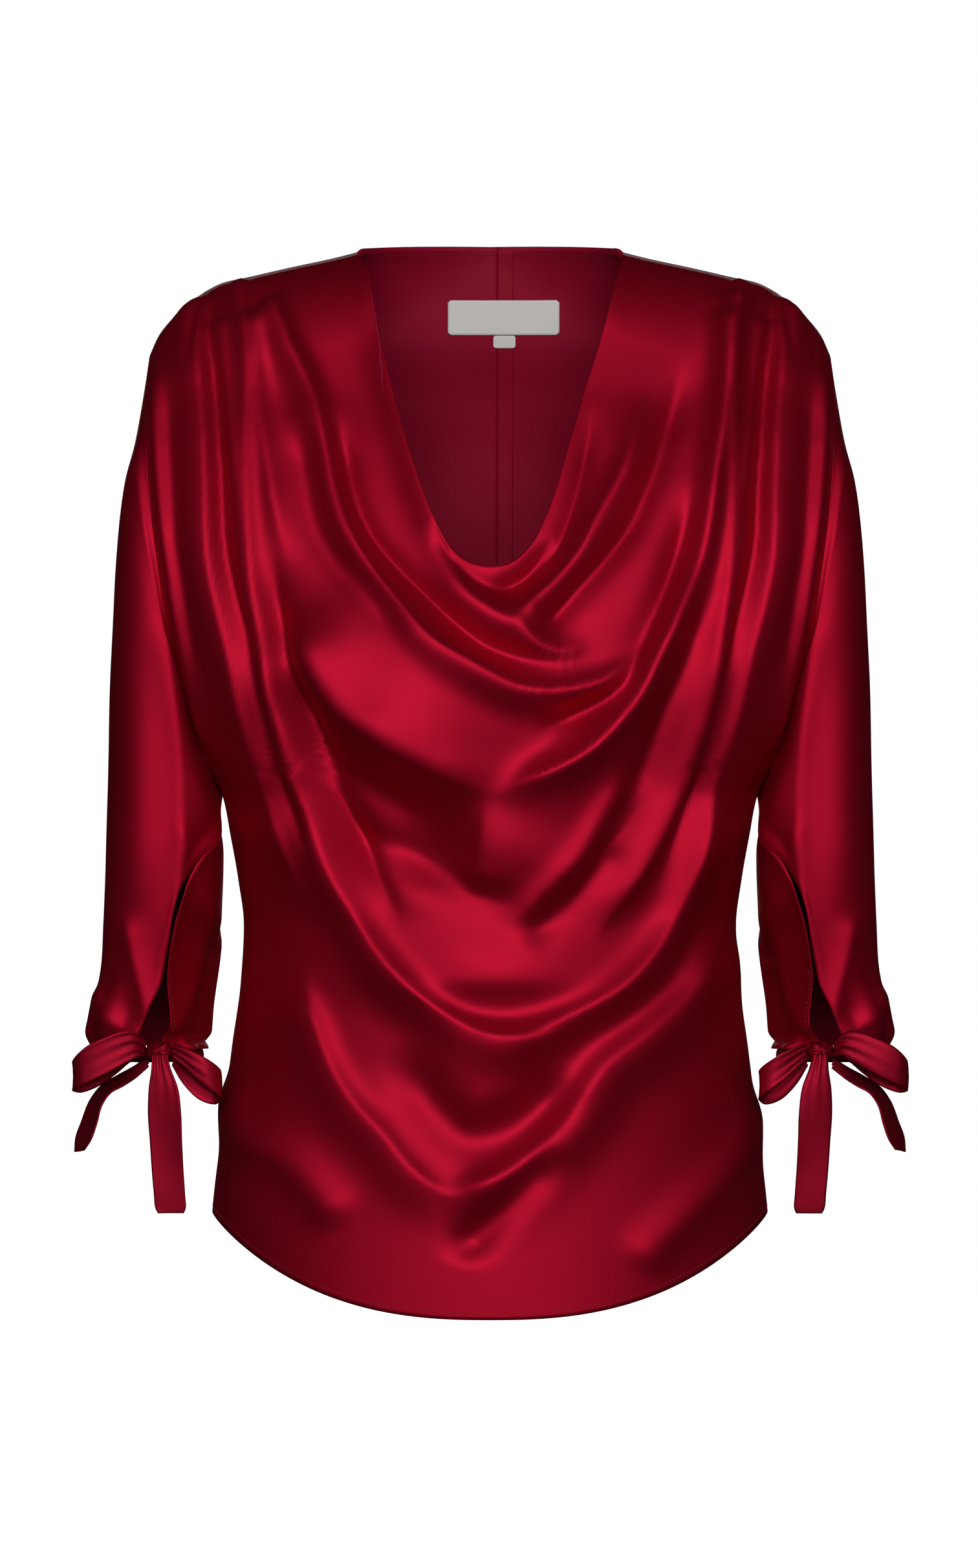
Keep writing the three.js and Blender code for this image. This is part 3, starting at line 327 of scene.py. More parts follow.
class ClothColours(bpy.types.PropertyGroup):
    """Colours of the cloth"""

    satin: FloatVectorProperty(
        name="Satin", description="The satin's face", size=3, subtype="COLOR", default=(0.43, 0.001, 0.022))
    inside: FloatVectorProperty(
        name="Satin back", description="The satin's duller back", size=3, subtype="COLOR",
        default=(0.29, 0.001, 0.022))
    ribbon: FloatVectorProperty(
        name="Ties", description="The ties and bands", size=3, subtype="COLOR", default=(0.30, 0.001, 0.018))
    thread: FloatVectorProperty(
        name="Thread", description="The sewing thread", size=3, subtype="COLOR", default=(0.30, 0.01, 0.03))
    label: FloatVectorProperty(
        name="Label", description="The woven label", size=3, subtype="COLOR", default=(0.52, 0.49, 0.45))


class StageSettings(bpy.types.PropertyGroup):
    """The floor, the lights and the camera"""

    floor: FloatVectorProperty(
        name="Floor", description="Colour of the floor", size=3, subtype="COLOR", default=(0.9, 0.9, 0.9))
    distance: FloatProperty(
        name="Camera distance", description="From the camera to the middle of the blouse", default=3.6,
        unit="LENGTH")
    power: FloatProperty(
        name="Light power", description="Power of the main softbox in watts", default=78)


def smooth_step(value):
    t = np.clip(value, 0, 1)
    return t * t * (3 - 2 * t)


def smooth_curve(xs, ys):
    """A function of one column of a table against another, smooth and with no overshoot."""
    order = np.argsort(xs)
    xs = np.array(xs, float)[order]
    ys = np.array(ys, float)[order]
    steps = np.diff(ys) / np.diff(xs)
    slopes = np.zeros_like(ys)
    before, after = steps[:-1], steps[1:]
    same = before * after > 0
    slopes[1:-1][same] = 2 * before[same] * after[same] / (before[same] + after[same])
    slopes[0], slopes[-1] = steps[0], steps[-1]

    def value(at):
        at = np.clip(at, xs[0], xs[-1])
        i = np.clip(np.searchsorted(xs, at) - 1, 0, len(xs) - 2)
        span = xs[i + 1] - xs[i]
        t = (at - xs[i]) / span
        return ((2 * t**3 - 3 * t**2 + 1) * ys[i] + (t**3 - 2 * t**2 + t) * span * slopes[i]
                + (3 * t**2 - 2 * t**3) * ys[i + 1] + (t**3 - t**2) * span * slopes[i + 1])

    return value


def curve_through(points, per_step=24):
    """Closely spaced points on a smooth line through a few."""
    points = np.array(points, float)
    padded = np.vstack([2 * points[0] - points[1], points, 2 * points[-1] - points[-2]])
    stretches = []
    # Knots at the square root of each step keep the line from looping
    for p0, p1, p2, p3 in zip(padded, padded[1:], padded[2:], padded[3:]):
        knots = [0.0]
        for a, b in ((p0, p1), (p1, p2), (p2, p3)):
            knots.append(knots[-1] + max(np.linalg.norm(b - a), 1e-9) ** 0.5)
        t0, t1, t2, t3 = knots
        t = np.linspace(t1, t2, per_step, endpoint=False)[:, None]
        a1 = (t1 - t) / (t1 - t0) * p0 + (t - t0) / (t1 - t0) * p1
        a2 = (t2 - t) / (t2 - t1) * p1 + (t - t1) / (t2 - t1) * p2
        a3 = (t3 - t) / (t3 - t2) * p2 + (t - t2) / (t3 - t2) * p3
        b1 = (t2 - t) / (t2 - t0) * a1 + (t - t0) / (t2 - t0) * a2
        b2 = (t3 - t) / (t3 - t1) * a2 + (t - t1) / (t3 - t1) * a3
        stretches.append((t2 - t) / (t2 - t1) * b1 + (t - t1) / (t2 - t1) * b2)
    return np.vstack(stretches + [points[-1:]])


def evenly(points, count):
    """count + 1 evenly spaced points on a line, measured over its first three columns."""
    steps = np.linalg.norm(np.diff(points[:, :3], axis=0), axis=1)
    lengths = np.concatenate([[0], np.cumsum(steps)])
    at = np.linspace(0, lengths[-1], count + 1)
    return np.stack([np.interp(at, lengths, points[:, k]) for k in range(points.shape[1])], axis=1)


def spaced(points, count):
    return evenly(curve_through(points), count)


body_curves = {key: smooth_curve(BODY_TABLE["z"], column) for key, column in BODY_TABLE.items() if key != "z"}
shoulder_height = smooth_curve([row[0] for row in SHOULDER], [row[1] for row in SHOULDER])
armhole_edge = {facing: smooth_curve(ARMHOLE["z"], ARMHOLE[word])
                for facing, word in ((-1, "front"), (1, "back"))}


def half_width(facing, z):
    return body_curves["front_width" if facing < 0 else "back_width"](z)


def half_depth(facing, z):
    return body_curves["front_depth" if facing < 0 else "back_depth"](z)


def ridge(x):
    """Height that the cloth falls from: the shoulder line, and the neck's side inside it."""
    out = np.abs(x)
    return np.where(out < NECK_HALF, (NECK_HALF - out) * NECK_SLOPE, shoulder_height(out))


def body_point(facing, angle, z):
    """The smooth body, facing -1 in front and 1 behind."""
    x = half_width(facing, z) * np.sin(angle)
    drop = np.clip((ridge(x) - z) / SHOULDER_ROUND, 0, 1)
    over = np.sqrt(1 - (1 - drop) ** 2)
    return np.stack([x, facing * half_depth(facing, z) * np.cos(angle) * over, z + 0 * x], axis=-1)


def body_normal(facing, angle, z):
    turn, rise = 0.01, 1.0
    across = body_point(facing, angle + turn, z) - body_point(facing, angle - turn, z)
    up = body_point(facing, angle, z + rise) - body_point(facing, angle, z - rise)
    normal = -facing * np.cross(across, up)
    return normal / np.linalg.norm(normal, axis=-1, keepdims=True)


def body_angle(facing, x, z):
    return np.arcsin(np.clip(x / half_width(facing, z), -1, 1))


# A fold's side narrower than this falls away like a crease, and a wider one like a swell
CREASE_WIDTH = 10
CREASE_POWER = 1.4
SWELL_POWER = 2
FOLD_REACH = 2.6
FOLD_STEPS = 4


def mirrored(folds):
    return [(name, rise, right, left, start, end, [(-x, z) for x, z in line])
            for name, rise, left, right, start, end, line in folds]


def fold_rise(folds, x, z):
    """How far the folds lift the cloth at each place."""
    total = np.zeros_like(x)
    for _name, rise, left, right, start, end, line in folds:
        points = spaced(line, len(line) * FOLD_STEPS)
        starts, ends = points[:-1], points[1:]
        run = ends - starts
        length = np.linalg.norm(run, axis=1)
        before = np.concatenate([[0], np.cumsum(length)])
        reach = FOLD_REACH * max(left, right)
        near = ((x > points[:, 0].min() - reach) & (x < points[:, 0].max() + reach)
                & (z > points[:, 1].min() - reach) & (z < points[:, 1].max() + reach))
        px, pz = x[near][:, None], z[near][:, None]
        t = np.clip(((px - starts[:, 0]) * run[:, 0] + (pz - starts[:, 1]) * run[:, 1]) / length**2, 0, 1)
        away = np.hypot(px - starts[:, 0] - t * run[:, 0], pz - starts[:, 1] - t * run[:, 1])
        best = np.argmin(away, axis=1)
        rows = np.arange(len(best))
        side = run[best, 0] * (pz[:, 0] - starts[best, 1]) - run[best, 1] * (px[:, 0] - starts[best, 0])
        along = before[best] + t[rows, best] * length[best]
        width = np.where(side > 0, left, right)
        fade = smooth_step(along / start) * smooth_step((before[-1] - along) / end)
        power = np.where(width < CREASE_WIDTH, CREASE_POWER, SWELL_POWER)
        total[near] += rise * fade * np.exp(-((away[rows, best] / width) ** power))
    return total


def swell_rise(swells, x, z):
    """How far the broad swells lift the cloth at each place."""
    total = np.zeros_like(x)
    for _name, rise, middle_x, middle_z, along, above, below, lean in swells:
        turn = math.radians(lean)
        u = (x - middle_x) * math.cos(turn) + (z - middle_z) * math.sin(turn)
        v = (z - middle_z) * math.cos(turn) - (x - middle_x) * math.sin(turn)
        total += rise * np.exp(-((u / along) ** 2) - (v / np.where(v > 0, above, below)) ** 2)
    return total


FRONT_ALL = PAIRED_FOLDS + mirrored(PAIRED_FOLDS) + FRONT_FOLDS
BACK_ALL = BACK_FOLDS + mirrored(BACK_FOLDS)
# How far from each seam the folds die out
ARMHOLE_FADE = 10
SIDE_FADE = 16
SHOULDER_FADE = 7
MIDDLE_FADE = 14


def cloth_points(facing, angle, z):
    """The cloth: the smooth body lifted by its folds, which die out at the seams."""
    points = body_point(facing, angle, z)
    x = points[..., 0]
    edge = armhole_edge[facing](z)
    to_side = np.where(z > UNDERARM_Z, (edge - np.abs(x)) / ARMHOLE_FADE,
                       (math.pi / 2 - np.abs(angle)) * half_width(facing, z) / SIDE_FADE)
    to_shoulder = np.where(np.abs(x) < NECK_HALF, 1, (ridge(x) - z) / SHOULDER_FADE)
    to_middle = np.abs(x - BACK_SEAM_X) / MIDDLE_FADE if facing > 0 else 1
    fade = smooth_step(np.minimum(np.minimum(to_side, to_shoulder), to_middle))
    lift = fold_rise(FRONT_ALL if facing < 0 else BACK_ALL, x.ravel(), z.ravel()).reshape(x.shape)
    if facing < 0:
        lift += swell_rise(FRONT_SWELLS, x, z)
    return points + body_normal(facing, angle, z) * (lift * fade)[..., None]


def shares(points):
    """Share of the length at each point of a line of angles and heights."""
    steps = np.hypot(np.diff(points[:, 0]) * MEAN_HALF_WIDTH, np.diff(points[:, 1]))
    sums = np.concatenate([[0], np.cumsum(steps)])
    return sums / sums[-1]


def patch(top, bottom, left, right):
    """A grid of angles and heights between four edges."""
    u = shares(top)[None, :, None]
    v = shares(left)[:, None, None]
    corners = ((1 - u) * (1 - v) * top[0] + u * (1 - v) * top[-1]
               + (1 - u) * v * bottom[0] + u * v * bottom[-1])
    return (1 - v) * top[None] + v * bottom[None] + (1 - u) * left[:, None] + u * right[:, None] - corners


def place(facing, points):
    return np.stack([body_angle(facing, points[:, 0], points[:, 2]), points[:, 2]], axis=1)


def hem_places(angles):
    lift = (HEM_CORNER_Z - HEM_FRONT_Z) * np.abs(np.sin(angles)) ** HEM_POWER
    return np.stack([angles, HEM_FRONT_Z + lift], axis=1)


def seam_lines(side):
    """Seams shared by the pieces on both sides of them."""
    shoulder = spaced(SHOULDER[::-1], SHOULDER_CELLS)
    heights = np.linspace(SLEEVE_HEAD_Z, UNDERARM_Z, ARMHOLE_CELLS + 1)
    below = np.linspace(UNDERARM_Z, HEM_CORNER_Z, SIDE_CELLS + 1)
    lines = {
        "shoulder": np.stack([side * shoulder[:, 0], 0 * shoulder[:, 0], shoulder[:, 1]], axis=1),
        "side": np.stack([side * half_width(-1, below), 0 * below, below], axis=1),
    }
    for facing in (-1, 1):
        edge = armhole_edge[facing](heights)
        lines[facing] = body_point(facing, body_angle(facing, side * edge, heights), heights)
    return lines


SEAMS = {side: seam_lines(side) for side, _ in SIDES}


def front_rows():
    neck = spaced(NECKLINE, NECK_FRONT_CELLS)
    right, left = SEAMS[-1]["shoulder"], SEAMS[1]["shoulder"][::-1]
    neck_places = np.stack([body_angle(-1, neck[:, 0], neck[:, 1]), neck[:, 1]], axis=1)
    top = np.vstack([place(-1, right), neck_places[1:-1], place(-1, left)])
    edges = [np.vstack([SEAMS[side][-1], SEAMS[side]["side"][1:]]) for side, _ in SIDES]
    bottom = hem_places(np.linspace(-math.pi / 2, math.pi / 2, len(top)))
    places = patch(top, bottom, place(-1, edges[0]), place(-1, edges[1]))
    rows = cloth_points(-1, places[..., 0], places[..., 1])
    rows[:, 0], rows[:, -1] = edges[0], edges[1]
    rows[0, :len(right)], rows[0, -len(left):] = right, left
    return rows


def back_rows(side):
    shoulder = SEAMS[side]["shoulder"]
    x = np.linspace(side * NECK_HALF, BACK_SEAM_X, NECK_BACK_CELLS + 1)[1:]
    z = NECK_BACK_RISE * np.sqrt(1 - (x / NECK_HALF) ** 2)
    top = np.vstack([place(1, shoulder), np.stack([body_angle(1, x, z), z], axis=1)])
    outer = np.vstack([SEAMS[side][1], SEAMS[side]["side"][1:]])
    outer_places = place(1, outer)
    heights = top[-1, 1] + (HEM_FRONT_Z - top[-1, 1]) * shares(outer_places)
    middle = np.stack([body_angle(1, BACK_SEAM_X, heights), heights], axis=1)
    bottom = hem_places(side * math.pi / 2 + (middle[-1, 0] - side * math.pi / 2) * shares(top))
    places = patch(top, bottom, outer_places, middle)
    rows = cloth_points(1, places[..., 0], places[..., 1])
    rows[:, 0] = outer
    rows[0, :len(shoulder)] = shoulder
    return rows


sleeve_curves = {key: smooth_curve(SLEEVE_TABLE["along"], column)
                 for key, column in SLEEVE_TABLE.items() if key != "along"}


def sleeve_points(side, along, angle, grow=0.0):
    """Points of a sleeve before it is fitted to its armhole."""
    fine = [evenly(curve_through(line), SLEEVE_LINE_STEPS) for line in (SLEEVE_OUTER, SLEEVE_INNER)]
    steps = np.linspace(0, 1, SLEEVE_LINE_STEPS + 1)
    outer, inner = (np.stack([np.interp(along, steps, line[:, k]) for k in (0, 1)], axis=-1) for line in fine)
    middle, half = (outer + inner) / 2, (outer - inner) / 2
    reach = 1 + grow / np.linalg.norm(half, axis=-1)
    depth = np.where(np.sin(angle) > 0, sleeve_curves["front"](along), sleeve_curves["back"](along)) + grow
    x = side * (middle[..., 0] + half[..., 0] * reach * np.cos(angle))
    power = np.where(np.sin(angle) > 0, np.interp(along, *FRONT_FLATNESS), 1)
    y = sleeve_curves["middle"](along) - depth * np.sign(np.sin(angle)) * abs(np.sin(angle)) ** power
    z = middle[..., 1] + half[..., 1] * reach * np.cos(angle)
    return np.stack([x, y, z], axis=-1)


def grid_normals(rows, flip):
    across = np.gradient(rows, axis=1)
    down = np.gradient(rows, axis=0)
    normal = np.cross(down, across)
    normal /= np.linalg.norm(normal, axis=-1, keepdims=True) + 1e-12
    return -normal if flip else normal


def flatten_inside(rows, along, angle):
    """Folds the sleeve's inner side back, flat from the seam to the inner edge."""
    for row, share, turned in zip(rows, along[:, 0], angle):
        amount = smooth_step((share - FLAT_FROM) / FLAT_FADE) * smooth_step((1 - share) / FLAT_END)
        if not amount:
            continue
        inside = np.flatnonzero(turned < -FLAT_TURN)
        reach = row[np.argmin(abs(row[:, 0])), 0] - row[inside[0], 0]
        near = smooth_step((-turned - math.pi / 2) / (FLAT_TURN - math.pi / 2)) * (turned > -math.pi)
        row[:, 0] += amount * reach * near
        first, last = row[inside[0]].copy(), row[-1]
        straight = first + (last - first) * np.linspace(0, 1, len(inside))[:, None]
        row[inside, :2] += (straight - row[inside])[:, :2] * amount


def sleeve_rows(side):
    armhole = np.vstack([SEAMS[side][-1][::-1], SEAMS[side][1][1:]])[::2]
    columns = len(armhole) - 1
    turn = np.arange(columns + 1) / columns
    fitted = armhole - sleeve_points(side, np.zeros(columns + 1), math.pi - 2 * math.pi * turn)
    along = np.linspace(0, 1, SLEEVE_ROWS + 1)[:, None] + 0 * turn
    seam, slit = (np.radians(sleeve_curves[key](along)) for key in ("seam_angle", "slit_angle"))
    angle = seam - slit - (2 * math.pi - slit) * turn
    blend = np.clip(1 - along / ARMHOLE_BLEND, 0, 1) ** ARMHOLE_BLEND_POWER
    gather = smooth_step((along - CUFF_GATHER_FROM) / (1 - CUFF_GATHER_FROM)) * CUFF_GATHER_DEPTH
    sway = CUFF_GATHER_SWAY * np.sin(CUFF_GATHER_DRIFT * turn)
    grow = gather * np.cos(2 * math.pi * CUFF_GATHERS * turn + sway)
    rows = sleeve_points(side, along, angle, grow) + fitted * blend[..., None]
    flatten_inside(rows, along, angle)
    out = side * rows[..., 0]
    lift = np.zeros(out.shape)
    for folds, facing in ((SLEEVE_FRONT_FOLDS, 1), (SLEEVE_BACK_FOLDS, -1)):
        shown = smooth_step(facing * np.sin(angle) / FOLD_FACING)
        lift += shown * fold_rise(folds, out.ravel(), rows[..., 2].ravel()).reshape(out.shape)
    fade = (smooth_step(along * SLEEVE_ROWS / HEAD_FADE_ROWS)
            * smooth_step((1 - along) * SLEEVE_ROWS / CUFF_FADE_ROWS))
    return rows + grid_normals(rows, side < 0) * (lift * fade)[..., None]


def mesh_of(name, bm):
    mesh = bpy.data.meshes.new(name)
    bm.to_mesh(mesh)
    bm.free()
    mesh.shade_smooth()
    obj = bpy.data.objects.new(name, mesh)
    bpy.context.scene.collection.objects.link(obj)
    return obj


def sheet_from(name, rows, flat, flip=False):
    """A cloth sheet: a grid laid on rows of points in millimetres, with its UV map in metres of cloth."""
    down, across = rows.shape[0] - 1, rows.shape[1] - 1
    bm = bmesh.new()
    bm.loops.layers.uv.new("cloth")
    bmesh.ops.create_grid(bm, x_segments=across, y_segments=down, size=0.5, calc_uvs=True)
    if flip:
        bmesh.ops.reverse_faces(bm, faces=bm.faces)
    for vert in bm.verts:
        row = round((0.5 - vert.co.y) * down)
        column = round((vert.co.x + 0.5) * across)
        vert.co = Vector(rows[row, column]) * MM
    uv = bm.loops.layers.uv.active
    for face in bm.faces:
        for loop in face.loops:
            loop[uv].uv = (loop[uv].uv.x * flat[0], loop[uv].uv.y * flat[1])
    return mesh_of(name, bm)


def thicken(obj, thickness, inside=0):
    shell = obj.modifiers.new("cloth", "SOLIDIFY")
    shell.thickness = thickness
    shell.offset = -1
    shell.use_rim = True
    shell.material_offset = inside


def finish_piece(obj, node, materials):
    for material in materials:
        obj.data.materials.append(material)
    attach(obj, BODY)
    if node:
        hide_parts(node)


def linked(tree, kind, *values, operation=None, **named):
    """A node with its inputs, in order or by name, set to values or joined to other nodes' outputs."""
    node = tree.nodes.new(kind)
    if operation:
        node.operation = operation
    sockets = list(zip(node.inputs, values))
    sockets += [(node.inputs[key.replace("_", " ")], value) for key, value in named.items()]
    for socket, value in sockets:
        if isinstance(value, bpy.types.NodeSocket):
            tree.links.new(value, socket)
        else:
            socket.default_value = value
    return node


# The weave's pattern: length and width of the floats, their share of the height, the size of the slow
# shifts of colour, and how far the shifts and the grain darken and lighten
FLOATS_SCALE = (900, 260, 1)
FLOATS_HEIGHT = 0.6
SLOW_SCALE = 9.0
SLOW_RANGE = (0.86, 1.14)
GRAIN_RANGE = (0.9, 1.1)


def woven_group():
    """Satin's grain: long floats of thread along the cloth, with slow shifts of colour."""
    name = "Woven satin"
    if name in bpy.data.node_groups:
        return bpy.data.node_groups[name]
    group = bpy.data.node_groups.new(name, "ShaderNodeTree")
    takes = (("Color", "NodeSocketColor", (1, 1, 1, 1)), ("Roughness", "NodeSocketFloat", 0.4),
             ("Pitch", "NodeSocketFloat", 0.0005), ("Variation", "NodeSocketFloat", 0.12))
    for key, kind, default in takes:
        socket = group.interface.new_socket(name=key, in_out="INPUT", socket_type=kind)
        socket.default_value = default
    gives = (("Color", "NodeSocketColor"), ("Roughness", "NodeSocketFloat"), ("Height", "NodeSocketFloat"))
    for key, kind in gives:
        group.interface.new_socket(name=key, in_out="OUTPUT", socket_type=kind)
    take = group.nodes.new("NodeGroupInput").outputs
    places = group.nodes.new("ShaderNodeTexCoord").outputs
    scale = linked(group, "ShaderNodeMath", 1.0, take["Pitch"], operation="DIVIDE")
    threads = linked(group, "ShaderNodeTexWave", Vector=places["UV"], Scale=scale.outputs[0], Distortion=1.2,
                     Detail=1.0)
    threads.bands_direction = "X"
    squeeze = linked(group, "ShaderNodeMapping", Vector=places["UV"], Scale=FLOATS_SCALE)
    floats = linked(group, "ShaderNodeTexNoise", Vector=squeeze.outputs[0], Scale=1.0, Detail=3.0)
    slow = linked(group, "ShaderNodeTexNoise", Vector=places["Object"], Scale=SLOW_SCALE, Detail=3.0)
    height = linked(group, "ShaderNodeMath", floats.outputs["Fac"], FLOATS_HEIGHT, threads.outputs["Fac"],
                    operation="MULTIPLY_ADD")
    tone = linked(group, "ShaderNodeMapRange", Value=slow.outputs["Fac"], To_Min=SLOW_RANGE[0],
                  To_Max=SLOW_RANGE[1])
    grain = linked(group, "ShaderNodeMapRange", Value=floats.outputs["Fac"], To_Min=GRAIN_RANGE[0],
                   To_Max=GRAIN_RANGE[1])
    both = linked(group, "ShaderNodeMath", tone.outputs[0], grain.outputs[0], operation="MULTIPLY")
    shade = linked(group, "ShaderNodeVectorMath", take["Color"], operation="SCALE", Scale=both.outputs[0])
    rough = linked(group, "ShaderNodeMath", floats.outputs["Fac"], take["Variation"], take["Roughness"],
                   operation="MULTIPLY_ADD")
    linked(group, "NodeGroupOutput", shade.outputs[0], rough.outputs[0], height.outputs[0])
    return group


# Each cloth: its colour's setting, its roughness, how metallic it is, the weave's relief, the sheen and
# the specular level
CLOTHS = {
    "satin face": ("satin", 0.52, 0.85, 0.12, 0.0, 0.4),
    "satin back": ("inside", 0.6, 0.1, 0.2, 0.0, 0.15),
    "satin ties": ("ribbon", 0.46, 0.85, 0.12, 0.0, 0.4),
    "label": ("label", 0.75, 0.0, 0.5, 0.0, 0.2),
    "thread": ("thread", 0.5, 0.1, 0.3, 0.1, 0.5),
}
RELIEF_HEIGHT = 0.0001


def cloth(name):
    material = bpy.data.materials.get(name)
    if material:
        return material
    scene = bpy.context.scene
    colour, roughness, metallic, relief, sheen, specular = CLOTHS[name]
    material = bpy.data.materials.new(name)
    material.use_nodes = True
    tree = material.node_tree
    shader = tree.nodes["Principled BSDF"]
    weave = tree.nodes.new("ShaderNodeGroup")
    weave.node_tree = woven_group()
    weave.inputs["Color"].default_value = (*getattr(scene.blouse_colours, colour), 1)
    weave.inputs["Roughness"].default_value = roughness
    weave.inputs["Pitch"].default_value = scene.blouse_cloth.weave
    bump = linked(tree, "ShaderNodeBump", Height=weave.outputs["Height"], Strength=relief,
                  Distance=RELIEF_HEIGHT)
    tree.links.new(weave.outputs["Color"], shader.inputs["Base Color"])
    tree.links.new(weave.outputs["Roughness"], shader.inputs["Roughness"])
    tree.links.new(bump.outputs["Normal"], shader.inputs["Normal"])
    shader.inputs["Metallic"].default_value = metallic
    shader.inputs["Specular IOR Level"].default_value = specular
    shader.inputs["Sheen Weight"].default_value = sheen
    shader.inputs["Sheen Roughness"].default_value = 0.4
    shader.inputs["Sheen Tint"].default_value = (1.0, 0.25, 0.35, 1)
    return material


STITCH_LIFT = 0.4


def stitch_row(name, points, normals):
    """A row of stitches along points in millimetres, each lying on the cloth."""
    sizes = bpy.context.scene.blouse_cloth
    steps = np.linalg.norm(np.diff(points, axis=0), axis=1).sum()
    count = int(steps * MM / sizes.pitch)
    line = evenly(np.hstack([points, normals]), count * 2)
    bm = bmesh.new()
    for i in range(1, count * 2, 2):
        along = Vector(line[i + 1, :3] - line[i - 1, :3]).normalized()
        up = Vector(line[i, 3:]).normalized()
        side = up.cross(along).normalized()
        turn = Matrix((along, side, up)).transposed().to_4x4()
        where = Matrix.Translation(Vector(line[i, :3]) * MM + up * sizes.thread * STITCH_LIFT)
        size = Matrix.Diagonal((sizes.stitch / 2, sizes.thread, sizes.thread, 1))
        bmesh.ops.create_uvsphere(bm, u_segments=6, v_segments=4, radius=1, matrix=where @ turn @ size)
    finish_piece(mesh_of(name, bm), None, [cloth("thread")])


# The cut of what shows, as width and length in metres, and its area in square metres
FRONT_CUT = ((0.72, 0.80), 0.40)
BACK_CUT = ((0.31, 0.72), 0.155)
SLEEVE_CUT = ((0.40, 0.50), 0.125)
BAND_CUT = ((0.2, 0.01), 0.00142)


def drape(node, rows, cut, flip=False):
    """A piece of the satin, with its dull side inside."""
    flat, area = cut
    obj = sheet_from(f"blouse_{node}", rows, flat, flip)
    thicken(obj, bpy.context.scene.blouse_cloth.shell, inside=1)
    finish_piece(obj, node, [cloth("satin face"), cloth("satin back")])


class BLOUSE_OT_front(bpy.types.Operator):
    """Drapes the front with its cowl and shoulder pleats"""

    bl_idname = "blouse.front"
    bl_label = "Front"

    def execute(self, context):
        drape("front", front_rows(), FRONT_CUT)
        return {"FINISHED"}


class BLOUSE_OT_backs(bpy.types.Operator):
    """Drapes the two halves of the back"""

    bl_idname = "blouse.backs"
    bl_label = "Backs"

    def execute(self, context):
        for side, word in SIDES:
            drape(f"back_{word}", back_rows(side), BACK_CUT, flip=side < 0)
        return {"FINISHED"}


class BLOUSE_OT_sleeves(bpy.types.Operator):
    """Makes the two sleeves with their slits"""

    bl_idname = "blouse.sleeves"
    bl_label = "Sleeves"

    def execute(self, context):
        for side, word in SIDES:
            drape(f"sleeve_{word}", sleeve_rows(side), SLEEVE_CUT, flip=side < 0)
        return {"FINISHED"}


BAND_AROUND = 160
BAND_UP = 8
BAND_INSET = 1
BAND_BULGE = 0.8
BAND_RIPPLE = 0.35
BAND_RIPPLES = 23


class BLOUSE_OT_bands(bpy.types.Operator):
    """Makes the band round each wrist"""

    bl_idname = "blouse.bands"
    bl_label = "Cuff bands"

    def execute(self, context):
        flat, area = BAND_CUT
        angle = np.linspace(0, 2 * math.pi, BAND_AROUND + 1)[None, :]
        down = np.linspace(0, 1, BAND_UP + 1)[:, None]
        ripple = BAND_RIPPLE * np.sin(BAND_RIPPLES * angle) * (1 - down)
        grow = BAND_BULGE * np.sin(math.pi * down) + ripple - BAND_INSET
        out = BAND["out"] + (BAND["half_out"] + grow) * np.cos(angle)
        y = BAND["y"] - (BAND["half_depth"] + grow) * np.sin(angle)
        z = BAND["z"] - BAND["height"] * down + 0 * angle
        for side, word in SIDES:
            rows = np.stack([side * out, y, z], axis=-1)
            obj = sheet_from(f"blouse_cuff_band_{word}", rows, (flat[0], BAND["height"] * MM), flip=side > 0)
            thicken(obj, context.scene.blouse_cloth.ribbon)
            finish_piece(obj, f"cuff_band_{word}", [cloth("satin ties")])
        return {"FINISHED"}


RIBBON_ROWS = 90
RIBBON_ACROSS = 14
RIBBON_CROWN = 0.6
# The gathers where a ribbon leaves the knot: share of the length, depth, waves and how they close up
RIBBON_GATHER_LENGTH = 0.12
RIBBON_GATHER_DEPTH = 1.1
RIBBON_GATHER_WAVES = 9.0
RIBBON_GATHER_CLOSE = 0.3


def ribbon_rows(side, table, both_ends):
    """A ribbon's points: its route, with gathers at the knot and a soft crown across."""
    line = evenly(curve_through(table, 40), RIBBON_ROWS)
    across = np.linspace(-1, 1, RIBBON_ACROSS + 1)
    rows = line[:, None, :3] + across[None, :, None] * line[:, None, 3:]
    rows[..., 0] *= side
    normals = grid_normals(rows, False)
    along = np.linspace(0, 1, RIBBON_ROWS + 1)[:, None]
    root = np.exp(-along / RIBBON_GATHER_LENGTH)
    if both_ends:
        root += np.exp(-(1 - along) / RIBBON_GATHER_LENGTH)
    depth = RIBBON_GATHER_DEPTH * root * (1 - root * RIBBON_GATHER_CLOSE)
    lift = depth * np.cos(across * RIBBON_GATHER_WAVES) + RIBBON_CROWN * (1 - across**2)
    return rows + normals * lift[..., None]


# The knot's creases, as shares of its size: the wraps round it, those across it, and its pulled waist
KNOT_WRAP = {"depth": 0.06, "waves": 7, "lean": 2.5}
KNOT_CREASE = {"depth": 0.05, "out": 4, "up": 6}
KNOT_WAIST = {"depth": 0.16, "at": -0.15, "width": 0.25}


